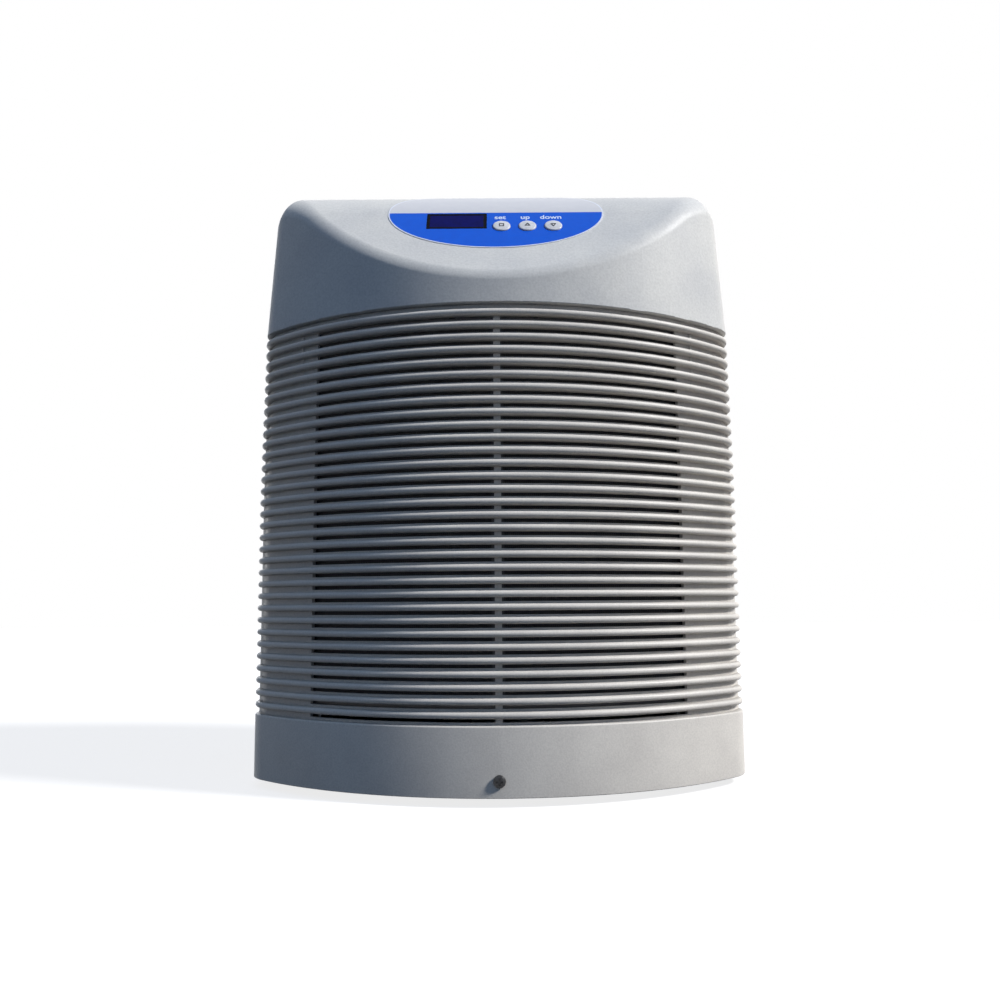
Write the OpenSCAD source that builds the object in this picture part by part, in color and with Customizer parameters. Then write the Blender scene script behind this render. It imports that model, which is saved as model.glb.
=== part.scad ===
// Aquarium water chiller: a ribbed housing over a condenser, fan, compressor and water exchanger
// The front faces -Y, +X is to the right and the floor is at height zero

/* [Housing] */
// Width over the skirt
body_w = 357; // [348:1:366]
// Depth from the bow of the front to the flat back
body_d = 275; // [270:1:285]
// Radius of the bowed front, seen from above
front_r = 254.2; // [248:0.2:262]
// Radius of the two front corners, seen from above
corner_r = 29.4; // [26:0.2:33]
// Radius of the two back corners, seen from above
back_corner_r = 18; // [16:0.5:21]
// Height of the plain skirt below the ribs
skirt_h = 45; // [42:0.5:48]
// Wall thickness of the skirt
skirt_t = 2.5; // [2:0.1:3]
// How far the skirt stands proud of the ribs
skirt_proud = 0.9; // [0.5:0.1:1.4]
// Inward draft of the ribbed walls in degrees
draft_deg = 0.3; // [0.1:0.05:0.45]

/* [Ribs] */
// Number of ribs, one above the other
rib_count = 32; // [31:1:33]
// Step from one rib to the next
rib_pitch = 8.65; // [8.4:0.05:8.9]
// Height of one rib
rib_t = 4.45; // [4.2:0.05:4.7]
// How far a rib stands out of the wall
rib_out = 4.1; // [3.6:0.1:4.4]
// Thickness of the wall behind the ribs
wall_t = 2.2; // [1.8:0.1:2.6]
// Height of an air slot below a rib
slot_h = 2.1; // [1.8:0.1:2.4]
// Distance from the middle to the end of an air slot
slot_half = 129.5; // [124:0.5:133]
// Width of the post in the middle of the slots
post_w = 4.65; // [4:0.05:6]

/* [Cap] */
// Height of the upright front band of the cap
cap_band_h = 20; // [17:0.5:23]
// Slope of the control facet in degrees
facet_deg = 55; // [53:0.5:57]
// Length of the facet from its lower edge to the middle of the label
facet_len = 76.5; // [72:0.5:80]
// Radius of the roll from the facet to the top
roll_r = 79; // [72:0.5:86]
// Radius of the long edges along both sides of the top
side_edge_r = 30; // [22:0.5:34]
// Radius of the back edge of the top
back_edge_r = 22; // [18:0.5:26]
// Wall thickness of the cap
cap_t = 2.6; // [2.2:0.1:3]
// Inward lean of the cap's sides in degrees
cap_lean_deg = 2.2; // [1:0.1:2.8]

/* [Controls] */
// Width of the label
label_w = 158; // [150:1:166]
// Height of the label from its middle line to its lowest point
label_h = 46; // [44:0.5:50]
// Width of the display window
window_w = 43.5; // [40:0.5:46]
// Height of the display window
window_h = 20; // [18:0.5:21]
// Diameter of a button
button_d = 12.8; // [11.5:0.1:13.6]
// Step from one button to the next
button_pitch = 18.7; // [17.5:0.1:19.5]
// Travel of a button
button_travel = 0.8; // [0.5:0.1:1]

/* [Cold side] */
// Diameter of the water exchanger
exchanger_d = 96; // [90:1:100]
// Height of the water exchanger
exchanger_h = 190; // [180:1:200]
// Outside diameter of a hose spigot
spigot_d = 16; // [15:0.5:17]
// Bore of a hose spigot
spigot_bore_d = 12; // [11:0.5:12.5]
// Smooth length of a hose spigot that takes the hose
spigot_grip = 22; // [20:0.5:25]

/* [Warm side] */
// Diameter of the compressor shell
compressor_d = 122; // [116:1:124]
// Height of the compressor shell
compressor_h = 165; // [155:1:175]
// Width of the condenser's fin pack
condenser_w = 250; // [242:1:256]
// Height of the condenser's fin pack
condenser_h = 228; // [224:1:234]
// Depth of the condenser's fin pack
condenser_d = 26; // [24:0.5:28]
// Number of fins
fin_count = 44; // [36:1:48]
// Number of tube passes
pass_count = 9; // [7:2:9]
// Diameter over the fan's blades
fan_d = 188; // [180:1:194]
// Number of fan blades
blade_count = 5; // [4:1:6]

/* [Feet] */
// Height of the rubber feet below the skirt
foot_h = 6; // [5:0.5:8]
// Diameter of a foot
foot_d = 24; // [20:0.5:27]

/* [Hidden] */

// Shared values
arc_steps = 40; // flats along the bowed front
bend_steps = 10; // flats along a rounded corner
overrun = 1; // how far a cutter runs past what it cuts
running = 0.3; // gap between pieces that move past each other
seat = 0.3; // gap at a loose seat
bore_fit = 0.05; // radial gap of a shaft in its bore
hex = 6;
round_n = 48;
sweep_n = 288; // flats of a full turn of the housing's sweeps

// Heights and plan of the housing
base_z = foot_h;
gap_h = rib_pitch - rib_t;
cap_z = base_z + skirt_h + rib_count * rib_pitch + gap_h;
half_w = body_w / 2;
nut_h = 15;
spigot_back = 8;
spigot_out = nut_h + spigot_grip;
screw_head_h = 2.6;
front_y = (screw_head_h - body_d - spigot_out) / 2;
back_y = front_y + body_d;
arc_y = front_y + front_r;
corner_x = half_w - corner_r;
corner_a = asin(corner_x / (front_r - corner_r));
corner_y = arc_y - (front_r - corner_r) * cos(corner_a);
wall_u = skirt_proud + rib_out;
inner_u = wall_u + wall_t;
shelf_t = 2.5;
skirt_edge_r = 1.2;
edge_steps = 3;
nose_steps = 4;
plain_t = 2.6;
plain_over = 0.4; // plain wall proud of the ribs
plain_u = skirt_proud - plain_over;
rib_end_gap = 8;
rib_end_y = back_y - back_corner_r - rib_end_gap;
seam_gap = 0.4;
lift_gap = 0.4;

// Values of the cap
cap_u = skirt_proud + draft(cap_z - base_z);
cap_y = front_y + cap_u;
cap_half_w = half_w - cap_u;
facet_z = cap_z + cap_band_h;
mid_y = cap_y + facet_len * cos(facet_deg);
mid_z = facet_z + facet_len * sin(facet_deg);
roll_y = mid_y + roll_r * sin(facet_deg);
roll_z = mid_z - roll_r * cos(facet_deg);
top_z = roll_z + roll_r;
roll_steps = 20;
lip_h = 8;
lip_t = 2;
lip_u = inner_u + draft(cap_z - base_z) + running;
flange_t = 2.5;

// Values of the front cover's screw, a pan head of size M4
screw_head_r = 4;
screw_r = 2;
screw_len = 14;
screw_up = 10.8;
cross_w = 1.1;
cross_deep = 1.4;
cross_len = 4.4;
dome_share = 1.6; // dome of a pan head as a share of its radius
boss_r = 5.5;
boss_gap = 0.6;

// Values of the small screws, size M3
small_head_r = 2.9;
small_head_h = 2;
small_r = 1.5;
small_len = 9;
small_cross_len = 3.2;
small_cross_w = 0.8;
small_cross_deep = 1;

// Values of the tray
tray_t = 3;
tray_drop = 3;
tray_rim_h = 10;
tray_rim_t = 2.4;
tray_u = skirt_t + running;
tray_z = base_z + tray_drop;
floor_z = tray_z + tray_t;
foot_in_x = 32;
foot_behind = 4;
foot_back = 24;
foot_stem_r = 4;
foot_stem_h = 7;
foot_edge_r = 3;
tray_boss_h = 20;
tray_boss_in = 15;
tray_boss_front = 22;
tray_boss_back = 34;
tray_hole_r = small_r + running;

// Values of the filter
filter_t = 3;
filter_rail = 8;
filter_low = 5;
filter_side_deg = 2.6;
mesh_t = 0.8;
keeper_w = 2;
keeper_in = 6;

// Values of the back wall
grille_slot_h = 3.6;
grille_pitch = 8.4;
grille_rows = 18;
grille_cols = 3;
grille_web = 8;
grille_side = 9.5;
grille_gap = 2;
grille_up = 75;
exchanger_side = 86.5;
exchanger_x = half_w - exchanger_side;
panel_x = exchanger_x;
panel_w = 112;
panel_h = 200;
panel_up = 53;
panel_t = 2.4;
panel_lap = 7;
panel_left = panel_x - panel_w / 2 - panel_lap;
grille_left = back_corner_r + grille_side - half_w;
grille_right = panel_left - grille_gap;
grille_step = (grille_right - grille_left + grille_web) / grille_cols;
grille_w = grille_step - grille_web;
grille_x = (grille_left + grille_right) / 2;

// Values of the label and what stands in it
label_t = 0.4;
label_steps = 72;
window_dx = -28.4;
window_dn = 11.3;
button_dx = 4.2;
button_dn = 18.5;
window_t = 2.6;
window_fit = 0.15;
button_fit = 0.2;
button_proud = 1.2;
button_flange = 1.1;
button_flange_t = 1;
stem_r = 1.6;
board_deep = 12;
board_t = 1.6;
board_w = 118;
board_h = 38;
board_dn = 16;
board_hole_in = 5;
pillar_r = 3.4;
display_rim = 1.4;
switch_w = 7;
switch_h = 4.6;
switch_bore_r = 2.1;
stem_in = 1.2;
switch_bore_deep = stem_in + button_travel + running;
chip_w = 12;
chip_h = 9;
chip_t = 2.2;
plug_w = 16;
plug_h = 6;
plug_t = 5;
shield_t = 1.6;
shield_deep = 14;

// Values of the condenser
condenser_in = 56;
condenser_up = 40;
fin_t = 0.6;
tube_r = 4.5;
tube_fit = 0.1;
plate_t = 1.5;
plate_flange = 12;
bend_out = 4;

// Values of the fan
shroud_t = 2;
shroud_gap = 1.5;
ring_d = 26;
tip_gap = 3;
hub_r = 28;
hub_d = 20;
blade_t = 1.8;
blade_deg = 22;
blade_span_deg = 36;
blade_tip_in = 2;
shaft_r = 4;
motor_r = 30;
motor_d = 36;
motor_gap = 3;
arm_w = 9;
arm_t = 2;
arm_count = 4;

// Values of the compressor
compressor_side = 88.5;
compressor_x = compressor_side - half_w;
compressor_in = 76;
dome_h = 34;
dome_steps = 8;
weld_r = 3;
weld_h = 5;
foot_plate_w = 128;
foot_plate_d = 96;
foot_plate_t = 3;
foot_hole_in = 11;
grommet_r = 9;
grommet_h = 13;
bolt_r = 3;
bolt_head_r = 5.5;
bolt_head_h = 4;
bolt_sink = 2;
terminal_w = 44;
terminal_h = 52;
terminal_d = 22;
terminal_up = 84;
terminal_deg = 30;
stub_r = 4.4;
stub_len = 8;
capacitor_r = 17;
capacitor_h = 70;
capacitor_side = 70;
capacitor_x = exchanger_x - capacitor_side;
capacitor_in = 49;
clip_t = 1.6;
clip_h = 12;
clip_foot = 10;
cap_terminal_r = 2;
cap_terminal_h = 6;

// Values of the refrigerant lines
line_sides = 8;
line_steps = 5;
line_r = 3.6;
suction_r = 5;
line_bend = 16;
drier_r = 11;
drier_len = 90;
drier_neck = 14;
drier_neck_r = 4;
drier_up = 70;
drier_side = 28.5;
drier_x = half_w - drier_side;
drier_in = 112;
capillary_r = 1.2;
capillary_loop_r = 17;
capillary_loops = 4;
capillary_pitch = 3.4;
capillary_steps = 16;
capillary_rise = 14;

// Values of the water exchanger
exchanger_in = 80;
exchanger_t = 3.4;
exchanger_lid_h = 14;
lid_lap = 5;
port_r = 11.5;
port_low = 70;
port_high = 160;
coil_r = 33;
coil_tube_r = 3.4;
coil_loops = 12;
coil_pitch = 11.5;
coil_steps = 20;
coil_sides = 6;
coil_low = 22;
strap_w = 16;
strap_t = 1.2;
strap_up = 115;
foot_ring_t = 4;
foot_ring_h = 12;
nut_r = 15;
nut_end_t = 2.2;
spigot_root = 20;
spigot_step = 0.4; // the root is this much thinner than the grip
spigot_root_r = spigot_d / 2 - spigot_step;
nut_ribs = 12;
nut_rib_r = 1.4;
seal_t = 1.5;
spigot_flange_r = 11.3;
spigot_flange_t = 3;
probe_r = 3;
probe_len = 60;
probe_head_r = 6;
probe_head_h = 8;
probe_x = 12;
probe_y = 14;
probe_lead_r = 1.6;
probe_lead_x = 30;

// Values of the mains entry
inlet_w = 36;
inlet_h = 54;
inlet_deep = 24;
inlet_flange_w = 48;
inlet_flange_t = 2.4;
inlet_flange_h = 62;
socket_w = 24.5;
socket_h = 16.5;
socket_deep = 17;
pin_w = 2;
pin_h = 4;
pin_len = 14;
pin_step = 7;
pin_rise = 3;
inlet_up = 80;
inlet_gap = 21;
inlet_x = panel_left - inlet_flange_w / 2 - inlet_gap;
socket_drop = 14;
drawer_w = 24;
drawer_h = 9;
drawer_deep = 18;
drawer_rise = 3;
drawer_fit = 0.2;
drawer_lip = 1.2;
rocker_w = 19;
rocker_h = 12;
rocker_rise = 18;
rocker_r = 5.7;
rocker_sink = 4.5;
rocker_flat = 4.7;
rocker_deg = 12;
rocker_deep = 11;
rocker_pin_r = 1.5;
rocker_pin_len = 2;
block_w = 26;
block_d = 20;
block_h = 18;
block_in = 44;
block_side = 4.5;
block_x = inlet_x + block_side;
block_ways = 4;
lead_r = 2.6;

// Inward draft at a height above the skirt's lower edge
function draft(h) = h * tan(draft_deg);

// Points of a circle's arc from one angle to another
function arc(c, r, a0, a1, n) = [for (i = [0:n]) c + r * [cos(a0 + (a1 - a0) * i / n),
    sin(a0 + (a1 - a0) * i / n)]];

// Plan of the housing, moved inward by u
function outline(u) = concat(
    arc([0, arc_y], front_r - u, 270 - corner_a, 270 + corner_a, arc_steps),
    arc([corner_x, corner_y], corner_r - u, 270 + corner_a, 360, bend_steps),
    arc([half_w - back_corner_r, back_y - back_corner_r], back_corner_r - u, 0, 90, bend_steps),
    arc([back_corner_r - half_w, back_y - back_corner_r], back_corner_r - u, 90, 180, bend_steps),
    arc([-corner_x, corner_y], corner_r - u, 180, 270 - corner_a, bend_steps)
);

// Height of a rib's middle above the skirt's lower edge
function rib_h(j) = skirt_h + gap_h + rib_t / 2 + j * rib_pitch;

// Wall section with its ribs, as distance inward and height
function ribbed_section(top) = concat(
    [[0, 0]],
    [for (i = [0:edge_steps]) let (a = 90 * i / edge_steps)
        [skirt_edge_r * (1 - cos(a)) + draft(skirt_h), skirt_h - skirt_edge_r * (1 - sin(a))]],
    [[wall_u + draft(skirt_h), skirt_h]],
    [for (j = [0:rib_count - 1]) for (p = rib_points(j)) p],
    [[wall_u + draft(top), top], [inner_u + draft(top), top], [inner_u + draft(skirt_h),
        skirt_h - shelf_t],
     [skirt_t + draft(skirt_h), skirt_h - shelf_t], [skirt_t, 0]]
);
function rib_points(j) = concat(
    [[wall_u + draft(rib_h(j)), rib_h(j) - rib_t / 2]],
    [for (i = [0:nose_steps]) rib_nose(j, -90 + 180 * i / nose_steps)],
    [[wall_u + draft(rib_h(j)), rib_h(j) + rib_t / 2]]
);
function rib_nose(j, a) = [
    skirt_proud + draft(rib_h(j)) + rib_t / 2 * (1 - cos(a)),
    rib_h(j) + rib_t / 2 * sin(a)
];

// Plain wall section of the back, with its wall t thick
function plain_section(top, t) = [
    [0, 0], [draft(skirt_h), skirt_h], [plain_u + draft(skirt_h), skirt_h],
    [plain_u + draft(top), top], [plain_u + t + draft(top), top],
    [plain_u + t + draft(skirt_h), skirt_h - shelf_t],
    [skirt_t + draft(skirt_h), skirt_h - shelf_t], [skirt_t, 0]
];

// Side view of the cap, moved inward by u, down to the height low
function cap_side(u, low) = concat(
    [[cap_y + u, low], [cap_y + u, facet_z + u * tan(facet_deg) - u / cos(facet_deg)]],
    arc([roll_y, roll_z], roll_r - u, 90 + facet_deg, 90, roll_steps),
    arc([back_y - cap_u - back_edge_r, top_z - back_edge_r], back_edge_r - u, 90, 0, bend_steps),
    [[back_y - cap_u - u, low]]
);

// Front view of the cap's right half, moved inward by u, down to the height low
function cap_front(u, low) = concat(
    [[0, low], [cap_half_w - u / cos(cap_lean_deg) + (cap_z - low) * tan(cap_lean_deg), low]],
    arc([cap_half_w - (top_z - side_edge_r - cap_z) * tan(cap_lean_deg) - side_edge_r / cos(cap_lean_deg),
         top_z - side_edge_r], side_edge_r - u, cap_lean_deg, 90, bend_steps),
    [[0, top_z - u]]
);

// Outline of the label, seen square to the facet
function label_outline() = [for (i = [0:label_steps - 1])
    [label_w / 2 * cos(360 * i / label_steps), label_h * sin(360 * i / label_steps)]];

// A path of points with every corner rounded
function unit(v) = v / norm(v);
function rounded(p, r) = concat(
    [p[0]],
    [for (i = [1:len(p) - 2]) for (t = [0:line_steps])
        bezier(p[i] + r * unit(p[i - 1] - p[i]), p[i], p[i] + r * unit(p[i + 1] - p[i]),
            t / line_steps)],
    [p[len(p) - 1]]
);
function bezier(a, b, c, t) = (1 - t) * (1 - t) * a + 2 * t * (1 - t) * b + t * t * c;

// A round tube of solid stock swept along a path, as one closed surface
function path_dir(p, i) = unit(i == 0 ? p[1] - p[0] : i == len(p) - 1 ? p[i] - p[i - 1]
    : unit(p[i + 1] - p[i]) + unit(p[i] - p[i - 1]));
function square_to(v, d) = unit(v - (v * d) * d);
function first_side(d) = square_to(abs(d[2]) < cos(45) ? [0, 0, 1] : [1, 0, 0], d);
function sides_along(p) = [for (i = 0, s = first_side(path_dir(p, 0)); i < len(p);
    i = i + 1, s = i < len(p) ? square_to(s, path_dir(p, i)) : s) s];
module swept(p, r, n) {
    s = sides_along(p);
    m = len(p);
    rings = [for (i = [0:m - 1]) for (k = [0:n - 1])
        p[i] + r * cos(360 * k / n) * s[i] + r * sin(360 * k / n) * cross(path_dir(p, i), s[i])];
    skin = [for (i = [0:m - 2]) for (k = [0:n - 1]) for (f = [
        [i * n + k, (i + 1) * n + k, i * n + (k + 1) % n],
        [i * n + (k + 1) % n, (i + 1) * n + k, (i + 1) * n + (k + 1) % n]]) f];
    lids = concat(
        [for (k = [1:n - 2]) [0, k, k + 1]],
        [for (k = [1:n - 2]) [(m - 1) * n, (m - 1) * n + k + 1, (m - 1) * n + k]]
    );
    polyhedron(points = rings, faces = concat(skin, lids));
}

// Extrusions of a side view along X and of a front view along Y
module along_x(x0, x1) {
    translate([x0, 0, 0]) rotate([90, 0, 90]) linear_extrude(x1 - x0) children();
}
module along_y(y0, y1) {
    translate([0, y1, 0]) rotate([90, 0, 0]) linear_extrude(y1 - y0) children();
}
module box(low, high) {
    translate(low) cube(high - low);
}
module rod_y(r, y0, y1, x, z) {
    translate([x, y1, z]) rotate([90, 0, 0]) cylinder(r = r, h = y1 - y0, $fn = round_n);
}
module rod_z(r, z0, z1, x, y) {
    translate([x, y, z0]) cylinder(r = r, h = z1 - z0, $fn = round_n);
}
module both_sides() {
    children();
    mirror([1, 0, 0]) children();
}

// Sweeps of a wall section round the plan of the housing
module front_sweep() {
    translate([0, arc_y, base_z]) rotate([0, 0, 270 - corner_a])
        rotate_extrude(angle = 2 * corner_a, $fn = sweep_n)
            translate([front_r, 0]) mirror([1, 0]) children();
    both_sides() translate([corner_x, corner_y, base_z]) rotate([0, 0, 270 + corner_a])
        rotate_extrude(angle = 90 - corner_a, $fn = sweep_n)
            translate([corner_r, 0]) mirror([1, 0]) children();
}
module side_sweep(y0, y1) {
    both_sides() translate([half_w, 0, base_z]) along_y(y0, y1) mirror([1, 0]) children();
}
module back_sweep() {
    both_sides() translate([half_w - back_corner_r, back_y - back_corner_r, base_z])
        rotate_extrude(angle = 90, $fn = sweep_n)
            translate([back_corner_r, 0]) mirror([1, 0]) children();
    translate([0, back_y, base_z]) along_x(back_corner_r - half_w, half_w - back_corner_r) mirror([1,
        0]) children();
}

// A pan-head screw pointing down, with a cross recess in its head
module pan_screw(head_r, head_h, r, len, slot_len, slot_w, slot_deep) {
    difference() {
        union() {
            intersection() {
                cylinder(r = head_r, h = head_h, $fn = round_n);
                translate([0, 0, head_h - head_r * dome_share]) sphere(r = head_r * dome_share,
                    $fn = round_n);
            }
            translate([0, 0, -len]) cylinder(r = r, h = len + head_h / 2, $fn = round_n);
        }
        for (a = [0, 90]) rotate([0, 0, a])
            translate([-slot_len / 2, -slot_w / 2, head_h - slot_deep])
                cube([slot_len, slot_w, slot_deep + overrun]);
    }
}
module small_screw() {
    pan_screw(small_head_r, small_head_h, small_r, small_len, small_cross_len, small_cross_w,
        small_cross_deep);
}

// Tray, feet and their screws
foot_spots = [for (x = [foot_in_x - half_w, half_w - foot_in_x])
    for (y = [corner_y + foot_behind, back_y - foot_back]) [x, y]];
boss_spots = [for (x = [tray_boss_in - half_w, half_w - tray_boss_in])
    for (y = [corner_y + tray_boss_front, back_y - tray_boss_back]) [x, y]];
screw_z = base_z + screw_up;
module base_tray() {
    color("dimgray") difference() {
        union() {
            translate([0, 0, tray_z]) linear_extrude(tray_t) polygon(outline(tray_u));
            translate([0, 0, tray_z]) linear_extrude(tray_t + tray_rim_h) difference() {
                polygon(outline(tray_u));
                polygon(outline(tray_u + tray_rim_t));
            }
            rod_y(boss_r, front_y + skirt_t + boss_gap, front_y + skirt_t + screw_len, 0, screw_z);
            box([-boss_r, front_y + tray_u + tray_rim_t, tray_z],
                [boss_r, front_y + skirt_t + screw_len, screw_z]);
        }
        for (p = foot_spots) rod_z(foot_stem_r + seat, tray_z - overrun, floor_z + overrun, p[0], p[1]);
        for (p = boss_spots) rod_z(tray_hole_r, tray_z - overrun, floor_z + overrun, p[0], p[1]);
        for (p = grommet_spots) rod_z(bolt_r + seat, tray_z - overrun, floor_z + overrun, p[0], p[1]);
        rod_y(screw_r + running, front_y - overrun, front_y + skirt_t + screw_len + overrun, 0,
            screw_z);
    }
}
module feet() {
    color([0.12, 0.12, 0.12]) for (p = foot_spots) translate([p[0], p[1], 0])
        rotate_extrude($fn = round_n) polygon([[0, 0], [foot_d / 2 - foot_edge_r, 0],
            [foot_d / 2, foot_edge_r], [foot_d / 2, tray_z], [foot_stem_r, tray_z],
            [foot_stem_r, tray_z + foot_stem_h], [0, tray_z + foot_stem_h]]);
}
module tray_screws() {
    color("gray") for (p = boss_spots) translate([p[0], p[1], tray_z]) rotate([180, 0, 0])
        small_screw();
}

// Rear housing: both ribbed sides and the flat back
grille_low = base_z + skirt_h + grille_up;
panel_low = base_z + panel_up;
module rear_housing() {
    top = cap_z - base_z;
    color([0.80, 0.79, 0.76]) difference() {
        union() {
            side_sweep(corner_y + seam_gap, rib_end_y) polygon(ribbed_section(top));
            side_sweep(rib_end_y, rib_end_y + wall_t) polygon(plain_section(top, inner_u - plain_u));
            side_sweep(rib_end_y, back_y - back_corner_r) polygon(plain_section(top, plain_t));
            back_sweep() polygon(plain_section(top, plain_t));
            for (p = boss_spots) rod_z(boss_r, floor_z + seat, floor_z + tray_boss_h, p[0], p[1]);
            for (p = boss_spots) box([p[0] < 0 ? -half_w + skirt_t : p[0], p[1] - boss_r / 2,
                floor_z + tray_rim_h + seat],
                [p[0] < 0 ? p[0] : half_w - skirt_t, p[1] + boss_r / 2, floor_z + tray_boss_h]);
        }
        for (p = boss_spots) rod_z(small_r + bore_fit, floor_z - overrun, floor_z + small_len, p[0],
            p[1]);
        for (i = [0:grille_rows - 1]) for (j = [0:grille_cols - 1])
            box([grille_x + (j - (grille_cols - 1) / 2) * grille_step - grille_w / 2,
                back_y - inner_u - overrun, grille_low + i * grille_pitch],
                [grille_x + (j - (grille_cols - 1) / 2) * grille_step + grille_w / 2, back_y + overrun,
                    grille_low + i * grille_pitch + grille_slot_h]);
        box([panel_x - panel_w / 2, back_y - inner_u - overrun, panel_low],
            [panel_x + panel_w / 2, back_y + overrun, panel_low + panel_h]);
        box([inlet_x - inlet_w / 2 - seat, back_y - inner_u - overrun, inlet_z - inlet_h / 2 - seat],
            [inlet_x + inlet_w / 2 + seat, back_y + overrun, inlet_z + inlet_h / 2 + seat]);
        both_sides() rod_y(small_r + running, back_y - inner_u - overrun, back_y + overrun,
            cap_screw_x, cap_screw_z);
        on_back(panel_low) for (p = panel_screw_spots) rod_y(small_r + running, -inner_u, overrun,
            p[0], p[1]);
    }
}

// Front cover: bowed front, both corners and its part of the skirt, all one moulding
filter_r = front_r - inner_u - draft(cap_z - base_z) - seat;
filter_a = asin(slot_half / filter_r) + filter_side_deg;
filter_z = base_z + skirt_h + filter_low;
filter_top_gap = 1;
filter_h = cap_z - lip_h - filter_top_gap - filter_z;
keeper_a = filter_a + atan((keeper_w / 2 + seat) / filter_r);
function keeper_section(z0, z1) = [
    [wall_u + wall_t / 2 + draft(z0 - base_z) - front_r, z0],
    [filter_t + keeper_in - filter_r, z0], [filter_t + keeper_in - filter_r, z1],
    [wall_u + wall_t / 2 + draft(z1 - base_z) - front_r, z1]
];
slot_back = arc_y - sqrt(pow(front_r - inner_u - draft(cap_z - base_z),
    2) - slot_half * slot_half) + overrun;
slot_top_gap = 0.15;
module front_cover() {
    color([0.80, 0.79, 0.76]) difference() {
        union() {
            front_sweep() polygon(ribbed_section(cap_z - base_z - lift_gap));
            for (a = [-keeper_a, keeper_a]) translate([0, arc_y, 0]) rotate([0, 0, a])
                along_x(-keeper_w / 2, keeper_w / 2) polygon(keeper_section(filter_z, filter_z + filter_h));
        }
        for (j = [0:rib_count - 1]) both_sides()
            box([post_w / 2, front_y - overrun, base_z + rib_h(j) - rib_t / 2 - slot_top_gap - slot_h],
                [slot_half, slot_back, base_z + rib_h(j) - rib_t / 2 - slot_top_gap]);
        rod_y(screw_r + running, front_y - overrun, front_y + skirt_t + overrun, 0, screw_z);
    }
}
module cover_screw() {
    color("darkgray") translate([0, front_y, screw_z]) rotate([90, 0, 0])
        pan_screw(screw_head_r, screw_head_h, screw_r, screw_len, cross_len, cross_w, cross_deep);
}

// Dust filter that lies behind the slots
rail_a = atan(filter_rail / filter_r);
module filter_band(a0, a1, r0, r1, z0, z1) {
    translate([0, arc_y, z0]) rotate([0, 0, 270 + a0]) rotate_extrude(angle = a1 - a0, $fn = sweep_n)
        translate([r0, 0]) square([r1 - r0, z1 - z0]);
}
module filter_frame() {
    color([0.2, 0.2, 0.21]) difference() {
        filter_band(-filter_a, filter_a, filter_r - filter_t, filter_r, filter_z, filter_z + filter_h);
        for (a = [0, 1]) mirror([a, 0, 0]) filter_band(rail_a / 2, filter_a - rail_a,
            filter_r - filter_t - overrun, filter_r + overrun,
            filter_z + filter_rail, filter_z + filter_h - filter_rail);
    }
}
module filter_mesh() {
    color([0.1, 0.1, 0.1]) for (a = [0, 1]) mirror([a, 0, 0])
        filter_band(rail_a / 2, filter_a - rail_a, filter_r - filter_t / 2 - mesh_t / 2,
            filter_r - filter_t / 2 + mesh_t / 2,
            filter_z + filter_rail, filter_z + filter_h - filter_rail);
}

// Places on the facet: X to the right, Y up the slope and Z out of the face, from the label's middle
module on_facet() {
    translate([0, mid_y, mid_z]) rotate([facet_deg, 0, 0]) children();
}
function facet_point(x, y, n) = [x, mid_y + y * cos(facet_deg) - n * sin(facet_deg),
    mid_z + y * sin(facet_deg) + n * cos(facet_deg)];
pillar_spots = [for (x = [board_hole_in - board_w / 2, board_w / 2 - board_hole_in])
    for (y = [board_hole_in - board_dn - board_h / 2, board_h / 2 - board_dn - board_hole_in]) [x, y]];
button_spots = [for (i = [0:2]) [button_dx + i * button_pitch, -button_dn]];
module face_holes(fit, button_fit, deep) {
    on_facet() {
        translate([0, 0, -deep]) box([window_dx - window_w / 2 - fit, -window_dn - window_h / 2 - fit,
            0],
            [window_dx + window_w / 2 + fit, -window_dn + window_h / 2 + fit,
                deep + label_t + overrun]);
        for (p = button_spots) translate([p[0], p[1], -deep])
            cylinder(r = button_d / 2 + button_fit, h = deep + label_t + overrun, $fn = round_n);
    }
}

// Cap with its facet, lip and the pillars for the controller board
cap_screw_x = 118;
cap_screw_low = 4;
cap_lug_r = 5;
cap_lug_d = 10;
cap_screw_z = cap_z - cap_screw_low;
module cap_solid(u, low) {
    right = cap_front(u, low);
    intersection() {
        translate([0, 0, low]) linear_extrude(top_z - low) polygon(outline(cap_u + u));
        along_x(-half_w, half_w) polygon(cap_side(u, low));
        along_y(front_y, back_y)
            polygon(concat(right, [for (i = [len(right) - 2:-1:1]) [-right[i][0], right[i][1]]]));
    }
}
module cap_ring(u0, u1, z0, z1) {
    translate([0, 0, z0]) linear_extrude(z1 - z0) difference() {
        polygon(outline(u0));
        polygon(outline(u1));
    }
}
module top_cap() {
    color([0.78, 0.78, 0.76]) difference() {
        union() {
            difference() {
                cap_solid(0, cap_z);
                cap_solid(cap_t, cap_z - overrun);
            }
            cap_ring(cap_u + cap_t / 2, lip_u + lip_t, cap_z, cap_z + flange_t);
            cap_ring(lip_u, lip_u + lip_t, cap_z - lip_h, cap_z + flange_t);
            for (p = pillar_spots) on_facet() translate([p[0], p[1], -board_deep])
                cylinder(r = pillar_r, h = board_deep - cap_t / 2, $fn = round_n);
            both_sides() rod_y(cap_lug_r, back_y - lip_u - cap_lug_d, back_y - lip_u - lip_t / 2,
                cap_screw_x, cap_screw_z);
        }
        face_holes(window_fit, button_fit, cap_t + overrun);
        for (p = pillar_spots) on_facet() translate([p[0], p[1], -board_deep - overrun])
            cylinder(r = small_r + bore_fit, h = small_len, $fn = round_n);
        both_sides() rod_y(small_r + bore_fit, back_y - lip_u - small_len, back_y, cap_screw_x,
            cap_screw_z);
    }
}
module cap_screws() {
    color("gray") both_sides()
        translate([cap_screw_x, back_y - plain_u - draft(cap_screw_z - base_z) + bore_fit, cap_screw_z])
        rotate([-90, 0, 0]) small_screw();
}

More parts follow.
